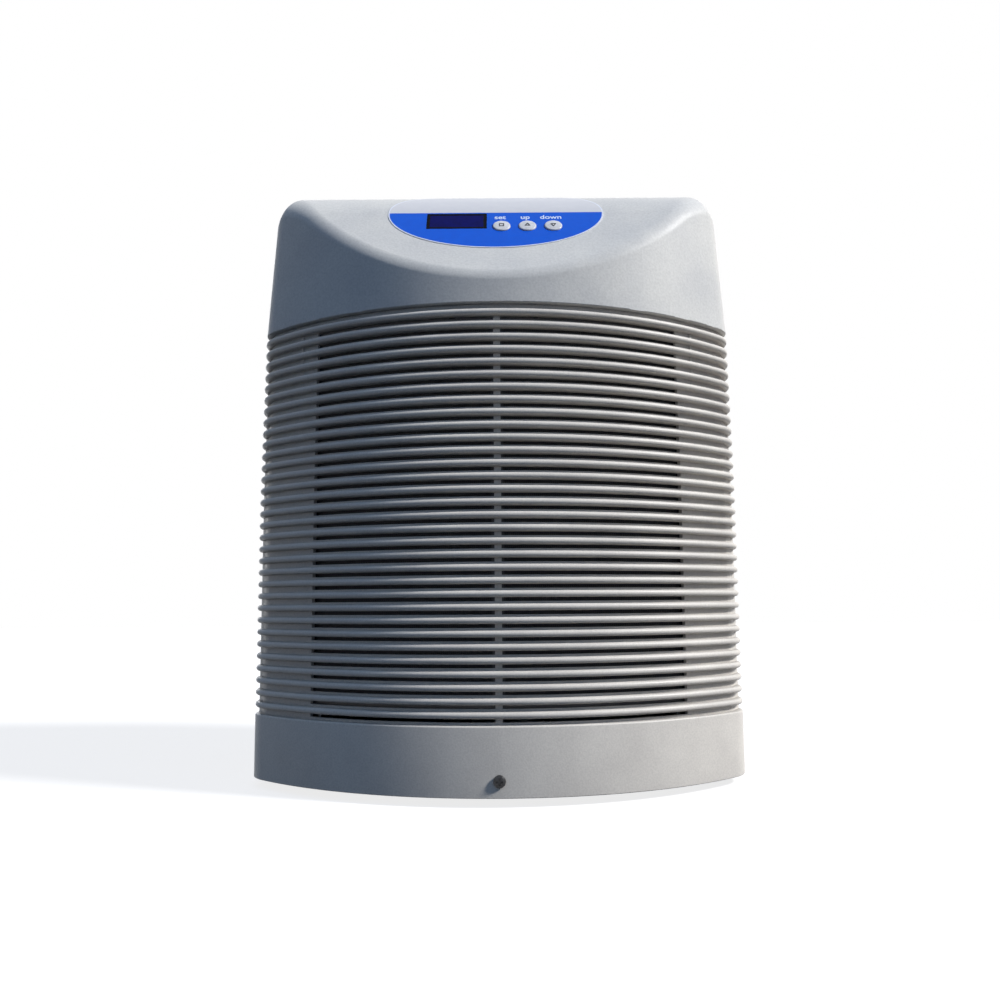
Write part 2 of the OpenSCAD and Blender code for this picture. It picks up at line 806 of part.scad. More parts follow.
// Label over the facet and the start of the roll
label_margin = 4;
label_deep = 18;
label_low = [mid_y, mid_z] - (label_h + label_margin) * [cos(facet_deg), sin(facet_deg)];
facet_out = [-sin(facet_deg), cos(facet_deg)];
module panel_overlay() {
    color([0.08, 0.36, 0.85]) difference() {
        intersection() {
            along_x(-label_w, label_w) polygon(concat(
                [label_low + label_t * facet_out],
                arc([roll_y, roll_z], roll_r + label_t, 90 + facet_deg, 90, roll_steps),
                arc([roll_y, roll_z], roll_r, 90, 90 + facet_deg, roll_steps),
                [label_low]
            ));
            on_facet() translate([0, 0, -label_deep]) linear_extrude(label_deep + label_t + overrun)
                polygon(label_outline());
        }
        face_holes(window_fit, button_fit, cap_t + overrun);
    }
}
module display_window() {
    color([0.02, 0.05, 0.3]) on_facet()
        box([window_dx - window_w / 2, -window_dn - window_h / 2, label_t - window_t],
            [window_dx + window_w / 2, -window_dn + window_h / 2, label_t]);
}
module display_module() {
    color([0.1, 0.1, 0.1]) on_facet()
        box([window_dx - window_w / 2 + display_rim, -window_dn - window_h / 2 + display_rim,
            -board_deep],
            [window_dx + window_w / 2 - display_rim, -window_dn + window_h / 2 - display_rim,
                -cap_t - seat]);
}

// Buttons: a cap in the facet, a flange that holds it in and a stem into its switch
button_edge_r = 0.8;
mark_h = 0.2;
mark_r = 2.6;
mark_line = 0.7;
switch_top = switch_h - board_deep;
module button(i) {
    top = label_t + button_proud;
    color([0.86, 0.86, 0.88]) on_facet() translate([button_spots[i][0], button_spots[i][1], 0]) {
        rotate_extrude($fn = round_n) polygon([
            [0, top], [button_d / 2 - button_edge_r, top], [button_d / 2, top - button_edge_r],
            [button_d / 2, -cap_t - seat], [button_d / 2 + button_flange, -cap_t - seat],
            [button_d / 2 + button_flange, -cap_t - seat - button_flange_t],
            [stem_r, -cap_t - seat - button_flange_t], [stem_r, switch_top - stem_in],
                [0, switch_top - stem_in]
        ]);
        translate([0, 0, top]) linear_extrude(mark_h) children();
    }
}
module ring_mark(sides, turn) {
    rotate(turn) difference() {
        circle(r = mark_r, $fn = sides);
        circle(r = mark_r - mark_line * (sides == 3 ? 2 : sqrt(2)), $fn = sides);
    }
}
module button_set() {
    button(0) ring_mark(4, 45);
}
module button_up() {
    button(1) ring_mark(3, 90);
}
module button_down() {
    button(2) ring_mark(3, 270);
}
module button_switches() {
    color([0.15, 0.15, 0.15]) for (p = button_spots) on_facet() translate([p[0], p[1], -board_deep])
        difference() {
        translate([-switch_w / 2, -switch_w / 2, 0]) cube([switch_w, switch_w, switch_h]);
        translate([0, 0, switch_h - switch_bore_deep])
            cylinder(r = switch_bore_r, h = switch_bore_deep + overrun, $fn = round_n);
    }
}

// Controller board, its screws and its shield
chip_x = 50;
module controller_board() {
    color([0.05, 0.35, 0.18]) on_facet() difference() {
        union() {
            box([-board_w / 2, -board_dn - board_h / 2, -board_deep - board_t],
                [board_w / 2, -board_dn + board_h / 2, -board_deep]);
            translate([-plug_w / 2, -board_dn - plug_h / 2, -board_deep - board_t - plug_t])
                cube([plug_w, plug_h, plug_t + board_t / 2]);
            translate([chip_x - board_w / 2, -board_dn - chip_h / 2, -board_deep - board_t - chip_t])
                cube([chip_w / 2, chip_h, chip_t + board_t / 2]);
        }
        for (p = pillar_spots) translate([p[0], p[1], -board_deep - board_t - overrun])
            cylinder(r = small_r + running, h = board_t + 2 * overrun, $fn = round_n);
    }
}
module board_screws() {
    color("gray") for (p = pillar_spots) on_facet() translate([p[0], p[1], -board_deep - board_t])
        rotate([180, 0, 0]) small_screw();
}
shield_n = board_deep + board_t + shield_deep;
module board_shield() {
    color([0.3, 0.31, 0.33]) on_facet() difference() {
        box([-board_w / 2, -board_dn - board_h / 2, -shield_n], [board_w / 2, -board_dn + board_h / 2,
            -board_deep - board_t]);
        box([shield_t - board_w / 2, shield_t - board_dn - board_h / 2, shield_t - shield_n],
            [board_w / 2 - shield_t, -board_dn + board_h / 2 - shield_t,
                overrun - board_deep - board_t]);
    }
}

// Condenser: fins on a tube that runs to and fro, between two end plates that stand on the tray
cond_y = front_y + condenser_in;
cond_back = cond_y + condenser_d;
cond_mid = cond_y + condenser_d / 2;
cond_z = floor_z + condenser_up;
pass_pitch = condenser_h / pass_count;
tube_x = condenser_w / 2 + plate_t + bend_out;
function pass_z(i) = cond_z + condenser_h - (i + 0.5) * pass_pitch;
module tube_holes() {
    for (i = [0:pass_count - 1]) translate([cond_mid, pass_z(i)]) circle(r = tube_r + tube_fit,
        $fn = round_n);
}
module condenser_fins() {
    color([0.75, 0.76, 0.78]) for (i = [0:fin_count - 1])
        let (x = -condenser_w / 2 + (i + 0.5) * condenser_w / fin_count)
            along_x(x - fin_t / 2, x + fin_t / 2) difference() {
                translate([cond_y, cond_z]) square([condenser_d, condenser_h]);
                tube_holes();
            }
}
module condenser_plates() {
    color([0.7, 0.7, 0.72]) both_sides() {
        along_x(condenser_w / 2, condenser_w / 2 + plate_t) difference() {
            translate([cond_y, floor_z]) square([condenser_d, condenser_h + condenser_up]);
            tube_holes();
        }
        box([condenser_w / 2, cond_back - plate_t / 2, cond_z],
            [condenser_w / 2 + plate_t + plate_flange, cond_back + shroud_gap, cond_z + condenser_h]);
        box([condenser_w / 2, cond_y, floor_z], [condenser_w / 2 + plate_t + plate_flange,
            cond_back - plate_t, floor_z + plate_t]);
    }
}
bend_turns = 6;
tube_path = concat(
    [[-tube_x, cond_mid, pass_z(0)]],
    [for (i = [0:pass_count - 2]) for (k = [0:bend_turns])
        [(i % 2 == 0 ? 1 : -1) * (tube_x + pass_pitch / 2 * sin(180 * k / bend_turns)), cond_mid,
         pass_z(i) - pass_pitch / 2 * (1 - cos(180 * k / bend_turns))]],
    [[tube_x, cond_mid, pass_z(pass_count - 1)]]
);
module condenser_tubes() {
    color([0.72, 0.42, 0.25]) swept(tube_path, tube_r, line_sides);
}

// Fan, its shroud, motor and bracket
fan_z = cond_z + condenser_h / 2;
shroud_y = cond_back + shroud_gap;
ring_r = fan_d / 2 + tip_gap;
ring_end = shroud_y + shroud_t + ring_d;
hub_end = ring_end - motor_gap;
shroud_w = condenser_w + 2 * plate_t + 2 * plate_flange;
module fan_shroud() {
    color([0.18, 0.18, 0.19]) difference() {
        union() {
            box([-shroud_w / 2, shroud_y, cond_z], [shroud_w / 2, shroud_y + shroud_t,
                cond_z + condenser_h]);
            rod_y(ring_r + shroud_t, shroud_y, ring_end, 0, fan_z);
        }
        rod_y(ring_r, shroud_y - overrun, ring_end + overrun, 0, fan_z);
    }
}
module fan_rotor() {
    color([0.13, 0.13, 0.14]) translate([0, hub_end, fan_z]) rotate([90, 0, 0]) difference() {
        union() {
            cylinder(r = hub_r, h = hub_d, $fn = round_n);
            for (i = [0:blade_count - 1]) rotate([0, 0, 360 * i / blade_count])
                translate([0, 0, hub_d / 2]) rotate([blade_deg, 0, 0]) translate([0, 0, -blade_t / 2])
                    linear_extrude(blade_t)
                    polygon(concat(
                        arc([0, 0], hub_r - blade_t, -blade_span_deg / 4, blade_span_deg / 4, 2),
                        arc([0, 0], fan_d / 2 - blade_tip_in, blade_span_deg / 2, -blade_span_deg / 2,
                            bend_steps)
                    ));
        }
        translate([0, 0, -overrun]) cylinder(r = shaft_r + bore_fit, h = hub_d + 2 * overrun,
            $fn = round_n);
    }
}
module fan_shaft() {
    color("silver") rod_y(shaft_r, hub_end - hub_d, ring_end + arm_t + motor_d / 2, 0, fan_z);
}
module fan_bracket() {
    color([0.6, 0.6, 0.62]) difference() {
        union() {
            rod_y(motor_r, ring_end, ring_end + arm_t, 0, fan_z);
            for (i = [0:arm_count - 1]) translate([0, 0, fan_z])
                rotate([0, 45 + 360 * i / arm_count, 0])
                box([0, ring_end, -arm_w / 2], [ring_r + shroud_t, ring_end + arm_t, arm_w / 2]);
        }
        rod_y(shaft_r + running, ring_end - overrun, ring_end + arm_t + overrun, 0, fan_z);
    }
}
motor_step = 8;
motor_cap_r = 20;
module fan_motor() {
    color([0.35, 0.36, 0.38]) difference() {
        union() {
            rod_y(motor_r, ring_end + arm_t, ring_end + arm_t + motor_d - motor_step, 0, fan_z);
            rod_y(motor_cap_r, ring_end + arm_t, ring_end + arm_t + motor_d, 0, fan_z);
        }
        rod_y(shaft_r + bore_fit, ring_end + arm_t - overrun, ring_end + arm_t + motor_d / 2 + seat, 0,
            fan_z);
    }
}

// Compressor on its rubber-mounted foot plate
comp_y = back_y - compressor_in;
plate_z = floor_z + grommet_h;
shell_z = plate_z + foot_plate_t;
comp_r = compressor_d / 2;
stub_x = 20;
stub_z = shell_z + compressor_h + stub_len;
shell_low_h = 10;
shell_low_in = 12;
weld_share = 0.45;
grommet_spots = [for (x = [-1, 1]) for (y = [-1, 1])
    [compressor_x + x * (foot_plate_w / 2 - foot_hole_in),
        comp_y + y * (foot_plate_d / 2 - foot_hole_in)]];
module compressor_shell() {
    color([0.07, 0.07, 0.08]) translate([compressor_x, comp_y, 0]) union() {
        translate([0, 0, shell_z]) rotate_extrude($fn = round_n) polygon(concat(
            [[0, 0], [comp_r - shell_low_in, 0], [comp_r, shell_low_h],
                [comp_r, weld_share * compressor_h - weld_h / 2],
             [comp_r + weld_r, weld_share * compressor_h - weld_h / 4],
                 [comp_r + weld_r, weld_share * compressor_h + weld_h / 4],
             [comp_r, weld_share * compressor_h + weld_h / 2]],
            [for (i = [0:dome_steps]) [comp_r * cos(90 * i / dome_steps),
                compressor_h - dome_h + dome_h * sin(90 * i / dome_steps)]]
        ));
        for (x = [-stub_x, stub_x]) rod_z(stub_r + line_r / 2, shell_z + compressor_h - dome_h / 2,
            stub_z, x, 0);
    }
}
module compressor_base() {
    color([0.1, 0.1, 0.11]) difference() {
        box([compressor_x - foot_plate_w / 2, comp_y - foot_plate_d / 2, plate_z],
            [compressor_x + foot_plate_w / 2, comp_y + foot_plate_d / 2, shell_z]);
        for (p = grommet_spots) rod_z(bolt_r + seat, plate_z - overrun, shell_z + overrun, p[0], p[1]);
    }
}
module compressor_grommets() {
    color([0.15, 0.15, 0.15]) for (p = grommet_spots) difference() {
        rod_z(grommet_r, floor_z, plate_z, p[0], p[1]);
        rod_z(bolt_r + seat, floor_z - overrun, plate_z + overrun, p[0], p[1]);
    }
}
module compressor_bolts() {
    color("silver") for (p = grommet_spots) {
        rod_z(bolt_r, tray_z + bolt_sink / 2, shell_z + bolt_head_h / 2, p[0], p[1]);
        translate([p[0], p[1], shell_z]) cylinder(r = bolt_head_r, h = bolt_head_h, $fn = hex);
    }
}
module terminal_cover() {
    color([0.12, 0.12, 0.13]) difference() {
        box([compressor_x + comp_r * cos(terminal_deg), comp_y - terminal_w / 2, shell_z + terminal_up],
            [compressor_x + comp_r + terminal_d, comp_y + terminal_w / 2,
            shell_z + terminal_up + terminal_h]);
        rod_z(comp_r + seat, shell_z + terminal_up - overrun,
            shell_z + terminal_up + terminal_h + overrun, compressor_x, comp_y);
    }
}
cap_y0 = back_y - capacitor_in;
module run_capacitor() {
    color([0.78, 0.78, 0.8]) union() {
        rod_z(capacitor_r, floor_z + clip_t, floor_z + clip_t + capacitor_h, capacitor_x, cap_y0);
        for (x = [-capacitor_r / 2, capacitor_r / 2])
            rod_z(cap_terminal_r, floor_z + capacitor_h,
                floor_z + clip_t + capacitor_h + cap_terminal_h, capacitor_x + x, cap_y0);
    }
}
module capacitor_clip() {
    color("silver") difference() {
        union() {
            rod_z(capacitor_r + bore_fit + clip_t, floor_z, floor_z + clip_h, capacitor_x, cap_y0);
            box([capacitor_x - clip_foot / 2, cap_y0 + capacitor_r, floor_z],
                [capacitor_x + clip_foot / 2, cap_y0 + capacitor_r + clip_foot, floor_z + clip_t]);
        }
        rod_z(capacitor_r + bore_fit, floor_z + clip_t, floor_z + clip_h + overrun, capacitor_x,
            cap_y0);
    }
}

// Water exchanger: a tank with a cooling coil hung from its lid
exch_y = back_y - exchanger_in;
exch_r = exchanger_d / 2;
exch_z = floor_z + foot_ring_t;
lid_z = exch_z + exchanger_h;
lid_top = lid_z + exchanger_lid_h;
port_end = back_y + spigot_back;
port_z = [exch_z + port_low, exch_z + port_high];
module exchanger_shell() {
    color([0.88, 0.88, 0.86]) difference() {
        union() {
            rod_z(exch_r, exch_z, lid_z, exchanger_x, exch_y);
            for (z = port_z) rod_y(port_r, exch_y + exch_r / 2, port_end, exchanger_x, z);
        }
        rod_z(exch_r - exchanger_t, exch_z + exchanger_t, lid_z + overrun, exchanger_x, exch_y);
        for (z = port_z) rod_y(spigot_root_r + bore_fit, exch_y + exch_r / 2, port_end + overrun,
            exchanger_x, z);
    }
}
lid_skirt_t = 2.6;
module exchanger_lid() {
    color([0.8, 0.8, 0.78]) difference() {
        union() {
            rod_z(exch_r + bore_fit + lid_skirt_t, lid_z - lid_lap, lid_top, exchanger_x, exch_y);
            for (x = [0, coil_r]) rod_z(stub_r + line_r / 2, lid_top - lid_skirt_t, lid_top + stub_len,
                exchanger_x + x, exch_y);
        }
        rod_z(exch_r + bore_fit, lid_z - lid_lap - overrun, lid_z, exchanger_x, exch_y);
        rod_z(probe_r + bore_fit, lid_z - overrun, lid_top + overrun, exchanger_x - probe_x,
            exch_y - probe_y);
    }
}
coil_z = exch_z + coil_low;
coil_top = coil_z + coil_loops * coil_pitch;
coil_turn_r = 5;
function coil_spot(i) = [coil_r * cos(360 * i / coil_steps), coil_r * sin(360 * i / coil_steps),
    coil_z + coil_pitch * i / coil_steps];
coil_last = coil_loops * coil_steps;
coil_path = concat(
    [[0, 0, lid_z]],
    rounded([[0, 0, coil_top], [0, 0, coil_z], [coil_r, 0, coil_z], coil_spot(1)], coil_turn_r),
    [for (i = [2:coil_last - 2]) coil_spot(i)],
    rounded([coil_spot(coil_last - 1), coil_spot(coil_last), [coil_r, 0, lid_z]], coil_turn_r)
);
module exchanger_coil() {
    color([0.62, 0.6, 0.58]) translate([exchanger_x, exch_y, 0]) swept(coil_path, coil_tube_r,
        coil_sides);
}
module exchanger_foot() {
    color([0.2, 0.2, 0.21]) difference() {
        rod_z(exch_r + seat + foot_ring_t, floor_z, floor_z + foot_ring_h, exchanger_x, exch_y);
        rod_z(exch_r + seat, exch_z, floor_z + foot_ring_h + overrun, exchanger_x, exch_y);
    }
}
back_in = plain_u + plain_t + panel_t + draft(panel_up + panel_h);
module exchanger_strap() {
    color("silver") difference() {
        union() {
            rod_z(exch_r + bore_fit + strap_t, exch_z + strap_up, exch_z + strap_up + strap_w,
                exchanger_x, exch_y);
            box([exchanger_x - strap_w / 2, exch_y + exch_r - strap_t, exch_z + strap_up],
                [exchanger_x + strap_w / 2, back_y - back_in - seat, exch_z + strap_up + strap_w]);
        }
        rod_z(exch_r + bore_fit, exch_z + strap_up - overrun, exch_z + strap_up + strap_w + overrun,
            exchanger_x, exch_y);
    }
}

// Hose spigots with their union nuts and seals
grip_y = back_y + nut_h;
nut_y = grip_y - seat;
module spigot(z) {
    color([0.15, 0.15, 0.16]) difference() {
        union() {
            rod_y(spigot_root_r, port_end - spigot_root, grip_y, exchanger_x, z);
            rod_y(spigot_d / 2, grip_y, back_y + spigot_out, exchanger_x, z);
            rod_y(spigot_flange_r, port_end + seal_t, port_end + seal_t + spigot_flange_t, exchanger_x,
                z);
        }
        rod_y(spigot_bore_d / 2, port_end - spigot_root - overrun, back_y + spigot_out + overrun,
            exchanger_x, z);
    }
}
module union_nut(z) {
    color([0.2, 0.2, 0.21]) difference() {
        union() {
            rod_y(nut_r, back_y + nut_lift, nut_y, exchanger_x, z);
            for (i = [0:nut_ribs - 1]) rod_y(nut_rib_r, back_y + nut_lift, nut_y - nut_end_t,
                exchanger_x + nut_r * cos(360 * i / nut_ribs), z + nut_r * sin(360 * i / nut_ribs));
        }
        rod_y(port_r + running, back_y, nut_y - nut_end_t, exchanger_x, z);
        rod_y(spigot_d / 2 + running, back_y, nut_y + overrun, exchanger_x, z);
    }
}
nut_lift = 0.6;
module water_inlet() {
    spigot(port_z[0]);
}
module water_outlet() {
    spigot(port_z[1]);
}
module inlet_nut() {
    union_nut(port_z[0]);
}
module outlet_nut() {
    union_nut(port_z[1]);
}
module spigot_seals() {
    color("black") for (z = port_z) difference() {
        rod_y(spigot_flange_r, port_end, port_end + seal_t, exchanger_x, z);
        rod_y(spigot_root_r + bore_fit, port_end - overrun, port_end + seal_t + overrun, exchanger_x, z);
    }
}
module temperature_probe() {
    color("silver") translate([exchanger_x - probe_x, exch_y - probe_y, 0]) union() {
        rod_z(probe_r, lid_z - probe_len, lid_top + probe_head_h / 2, 0, 0);
        rod_z(probe_head_r, lid_top, lid_top + probe_head_h, 0, 0);
    }
}

// Refrigerant lines
line_side_x = 148;
line_rise = 26;
line_top = pass_z(0);
drier_y = back_y - drier_in;
drier_z = cond_z + drier_up - drier_neck;
module discharge_line() {
    x = compressor_x - stub_x;
    color([0.72, 0.42, 0.25]) swept(rounded([[x, comp_y, stub_z], [x, comp_y, line_top],
        [-line_side_x, comp_y, line_top], [-line_side_x, cond_mid, line_top],
        [-tube_x, cond_mid, line_top]], line_bend / 2), line_r, line_sides);
}
module liquid_line() {
    z = pass_z(pass_count - 1);
    color([0.72, 0.42, 0.25])
        swept(rounded([[tube_x, cond_mid, z], [drier_x, cond_mid, z], [drier_x, drier_y, z],
        [drier_x, drier_y, drier_z - drier_neck]], line_bend / 2), line_r, line_sides);
}
module filter_drier() {
    color([0.72, 0.45, 0.3]) union() {
        rod_z(drier_r, drier_z, drier_z + drier_len, drier_x, drier_y);
        rod_z(drier_neck_r, drier_z - drier_neck, drier_z + drier_len + drier_neck, drier_x, drier_y);
    }
}
module drier_clip() {
    z = drier_z + drier_len / 2;
    wall_x = half_w - inner_u - draft(z + clip_h - base_z) - bore_fit;
    color("silver") difference() {
        union() {
            rod_z(drier_r + bore_fit + clip_t, z, z + clip_h, drier_x, drier_y);
            box([drier_x + drier_r, drier_y - clip_foot / 2, z], [wall_x, drier_y + clip_foot / 2,
                z + clip_h]);
        }
        rod_z(drier_r + bore_fit, z - overrun, z + clip_h + overrun, drier_x, drier_y);
    }
}
module capillary_tube() {
    z = drier_z + drier_len + drier_neck;
    coil_mid = [drier_x - capillary_loop_r, drier_y, z + capillary_rise];
    coil_end = coil_mid[2] + capillary_loops * capillary_pitch;
    lid = [exchanger_x + coil_r, exch_y, lid_top + stub_len];
    over = max(coil_end, lid[2]) + line_bend;
    color([0.75, 0.5, 0.32]) swept(concat(
        [[drier_x, drier_y, z], [drier_x, drier_y, z + capillary_rise / 2]],
        [for (i = [0:capillary_loops * capillary_steps]) coil_mid + [
            capillary_loop_r * cos(360 * i / capillary_steps),
            capillary_loop_r * sin(360 * i / capillary_steps), capillary_pitch * i / capillary_steps]],
        rounded([[drier_x, drier_y, coil_end + capillary_pitch], [drier_x, drier_y, over],
            [lid[0], lid[1], over], lid], capillary_pitch)
    ), capillary_r, coil_sides);
}
module suction_line() {
    z = lid_top + stub_len + line_rise;
    color([0.1, 0.1, 0.1])
        swept(rounded([[exchanger_x, exch_y, lid_top + stub_len], [exchanger_x, exch_y, z],
        [compressor_x + stub_x, comp_y, z], [compressor_x + stub_x, comp_y, stub_z]], line_bend),
            suction_r, line_sides);
}

// Service panel behind the cut-out for the ports
module on_back(z) {
    translate([0, back_y - plain_u - draft(z - base_z), z]) rotate([draft_deg, 0, 0]) children();
}
panel_screw_spots = [for (x = [-1, 1])
    for (z = [-panel_lap / 2, panel_h + panel_lap / 2]) [panel_x + x * (panel_w + panel_lap) / 2, z]];
port_gap = 0.6;
module service_panel() {
    color([0.22, 0.22, 0.23]) difference() {
        on_back(panel_low) box([panel_left, -plain_t - panel_t - bore_fit, -panel_lap],
            [panel_x + panel_w / 2 + panel_lap, -plain_t - bore_fit, panel_h + panel_lap]);
        for (z = port_z) rod_y(port_r + port_gap, back_y - inner_u - overrun, back_y, exchanger_x, z);
        on_back(panel_low) for (p = panel_screw_spots) rod_y(small_r + bore_fit, -small_len - overrun,
            0, p[0], p[1]);
    }
}
module panel_screws() {
    color("gray") on_back(panel_low) for (p = panel_screw_spots) translate([p[0], bore_fit, p[1]])
        rotate([-90, 0, 0]) small_screw();
}

// Mains inlet with its fuse drawer and rocker switch
inlet_z = base_z + inlet_up;
inlet_y = back_y - plain_u - draft(inlet_up - inlet_flange_h / 2);
module at_inlet(rise) {
    translate([inlet_x, inlet_y, inlet_z + rise]) children();
}
module power_inlet() {
    color([0.08, 0.08, 0.09]) difference() {
        at_inlet(0) union() {
            box([-inlet_flange_w / 2, 0, -inlet_flange_h / 2], [inlet_flange_w / 2, inlet_flange_t,
                inlet_flange_h / 2]);
            box([-inlet_w / 2, -inlet_deep, -inlet_h / 2], [inlet_w / 2, inlet_flange_t / 2,
                inlet_h / 2]);
        }
        at_inlet(-socket_drop) difference() {
            box([-socket_w / 2, -socket_deep, -socket_h / 2], [socket_w / 2, inlet_flange_t + overrun,
                socket_h / 2]);
            for (x = [-1, 0, 1]) box([x * pin_step - pin_w / 2, -socket_deep - overrun,
                (x == 0 ? pin_rise : -pin_rise / 2) - pin_h / 2],
                [x * pin_step + pin_w / 2, pin_len - socket_deep,
                    (x == 0 ? pin_rise : -pin_rise / 2) + pin_h / 2]);
        }
        at_inlet(drawer_rise) box([-drawer_w / 2, -drawer_deep, -drawer_h / 2],
            [drawer_w / 2, inlet_flange_t + overrun, drawer_h / 2]);
        at_inlet(rocker_rise) box([-rocker_w / 2, -rocker_deep, -rocker_h / 2],
            [rocker_w / 2, inlet_flange_t + overrun, rocker_h / 2]);
        at_inlet(rocker_rise) translate([0, inlet_flange_t - rocker_sink, 0])
            along_x(-rocker_w / 2 - rocker_pin_len, rocker_w / 2 + rocker_pin_len)
            circle(r = rocker_pin_r + bore_fit, $fn = round_n);
    }
}
module fuse_drawer() {
    color([0.12, 0.12, 0.13]) at_inlet(drawer_rise) union() {
        box([drawer_fit - drawer_w / 2, seat - drawer_deep, drawer_fit - drawer_h / 2],
            [drawer_w / 2 - drawer_fit, inlet_flange_t + drawer_lip, drawer_h / 2 - drawer_fit]);
        box([-drawer_h / 2, inlet_flange_t + drawer_lip / 2, -drawer_lip],
            [drawer_h / 2, inlet_flange_t + 2 * drawer_lip, drawer_lip]);
    }
}
module rocker_switch() {
    color([0.6, 0.05, 0.05]) at_inlet(rocker_rise) translate([0, inlet_flange_t - rocker_sink, 0])
        rotate([-rocker_deg, 0, 0]) {
        difference() {
            along_x(drawer_fit - rocker_w / 2, rocker_w / 2 - drawer_fit)
                circle(r = rocker_r, $fn = round_n);
            for (a = [-rocker_deg, rocker_deg]) rotate([a, 0, 0])
                box([-rocker_w / 2, rocker_flat, (a < 0 ? -rocker_h : 0)], [rocker_w / 2, rocker_h,
                    (a < 0 ? 0 : rocker_h)]);
        }
        along_x(-rocker_w / 2 - rocker_pin_len + drawer_fit,
            rocker_w / 2 + rocker_pin_len - drawer_fit) circle(r = rocker_pin_r, $fn = round_n);
    }
}

// Terminal block and the leads inside the housing
block_y = back_y - block_in;
block_pitch = block_w / block_ways;
function block_spot(i) = block_x + (i - (block_ways - 1) / 2) * block_pitch;
lead_deep = 4;
module terminal_block() {
    color([0.85, 0.85, 0.82]) difference() {
        box([block_x - block_w / 2, block_y - block_d / 2, floor_z],
            [block_x + block_w / 2, block_y + block_d / 2, floor_z + block_h]);
        for (i = [0:block_ways - 1]) rod_z(lead_r + bore_fit, floor_z + block_h - lead_deep,
            floor_z + block_h + overrun, block_spot(i), block_y);
    }
}
lead_bend = 6;
lead_over = 14;
lead_top_z = cap_z - lip_h - lead_over;
lead_front = 22;
lead_end_x = -34;
module mains_leads() {
    low = floor_z + block_h - lead_deep;
    color([0.15, 0.15, 0.16]) {
        for (i = [1:block_ways - 2])
            swept(rounded([[block_spot(i), inlet_y - inlet_deep, inlet_z - socket_drop],
            [block_spot(i), block_y, inlet_z - socket_drop], [block_spot(i), block_y, low]],
                lead_bend), lead_r, line_sides);
        swept(rounded([[block_spot(block_ways - 1), block_y, low], [block_spot(block_ways - 1),
            block_y, lead_top_z],
            [lead_end_x, facet_point(0, -board_dn, -shield_n)[1] + lead_front, lead_top_z],
            facet_point(lead_end_x, -board_dn, -shield_n - lead_front), facet_point(lead_end_x,
                -board_dn, -shield_n)], lead_bend),
            lead_r, line_sides);
    }
}
module probe_lead() {
    x = exchanger_x - probe_x;
    color([0.2, 0.2, 0.2])
        swept(rounded([[x, exch_y - probe_y, lid_top + probe_head_h], [x, exch_y - probe_y, lead_top_z],
        [probe_lead_x, facet_point(0, -board_dn, -shield_n)[1] + lead_front, lead_top_z],
        facet_point(probe_lead_x, -board_dn, -shield_n - lead_front), facet_point(probe_lead_x,
            -board_dn, -shield_n)], lead_bend),
        probe_lead_r, coil_sides);
}

base_tray();
feet();
tray_screws();
rear_housing();
front_cover();
cover_screw();
filter_frame();
filter_mesh();
top_cap();
cap_screws();
panel_overlay();
display_window();
display_module();
button_set();
button_up();
button_down();
button_switches();
controller_board();
board_screws();
board_shield();
condenser_fins();
condenser_tubes();
condenser_plates();
fan_shroud();
fan_rotor();
fan_shaft();
fan_motor();
fan_bracket();
compressor_shell();
compressor_base();
compressor_grommets();
compressor_bolts();
terminal_cover();
run_capacitor();
capacitor_clip();
discharge_line();
liquid_line();
filter_drier();
drier_clip();
capillary_tube();
suction_line();
exchanger_shell();
exchanger_lid();
exchanger_coil();
exchanger_foot();
exchanger_strap();
water_inlet();
water_outlet();
inlet_nut();
outlet_nut();
spigot_seals();
temperature_probe();
probe_lead();
service_panel();
panel_screws();
power_inlet();
fuse_drawer();
rocker_switch();
terminal_block();
mains_leads();
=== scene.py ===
import bmesh
import bpy
import math
import numpy as np
from mathutils import Matrix, Vector


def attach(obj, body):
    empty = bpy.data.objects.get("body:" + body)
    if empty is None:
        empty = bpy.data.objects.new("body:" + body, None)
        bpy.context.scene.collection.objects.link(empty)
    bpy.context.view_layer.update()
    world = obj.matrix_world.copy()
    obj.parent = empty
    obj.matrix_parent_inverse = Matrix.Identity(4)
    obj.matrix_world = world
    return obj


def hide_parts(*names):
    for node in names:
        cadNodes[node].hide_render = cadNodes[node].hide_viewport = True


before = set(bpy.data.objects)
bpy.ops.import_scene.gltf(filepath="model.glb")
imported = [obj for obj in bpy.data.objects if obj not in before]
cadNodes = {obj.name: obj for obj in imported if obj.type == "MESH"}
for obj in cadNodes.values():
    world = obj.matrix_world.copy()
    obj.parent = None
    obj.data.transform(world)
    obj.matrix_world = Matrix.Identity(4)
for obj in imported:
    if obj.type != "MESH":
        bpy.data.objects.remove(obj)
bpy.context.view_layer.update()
print("frame loaded with", len(cadNodes), "nodes")

# plan and heights of the cabinet, in metres
plan = {
    "baseZ": 0.006, "frontY": -0.1547, "backY": 0.1203, "halfW": 0.1785,
    "frontR": 0.2542, "arcY": 0.0995, "cornerR": 0.0294, "cornerX": 0.1491,
    "cornerY": -0.0687386, "cornerDeg": 41.5487, "backCornerR": 0.018, "draftDeg": 0.3,
    "capZ": 0.332, "topZ": 0.448353,
}
facet = {
    "deg": 55, "midY": -0.108214, "midZ": 0.414665,
    "rollR": 0.079, "rollY": -0.0435014, "rollZ": 0.369353,
}
# how near vertices are picked and merged, in metres
near = {
    "pick": 0.00001, "finePick": 0.000001, "merge": 0.00001, "fineMerge": 0.000001, "keyMerge": 0.000002,
    "wallMerge": 0.000005, "coverMerge": 0.000008, "bayMerge": 0.00002, "ringMerge": 0.0001,
}
roundSides = 32  # sides of small round holes and posts
seedSize = 0.001  # the plane that is merged into the first vertex of a profile


# modelling helpers
def only(obj):
    bpy.ops.object.select_all(action="DESELECT")
    obj.select_set(True)
    bpy.context.view_layer.objects.active = obj


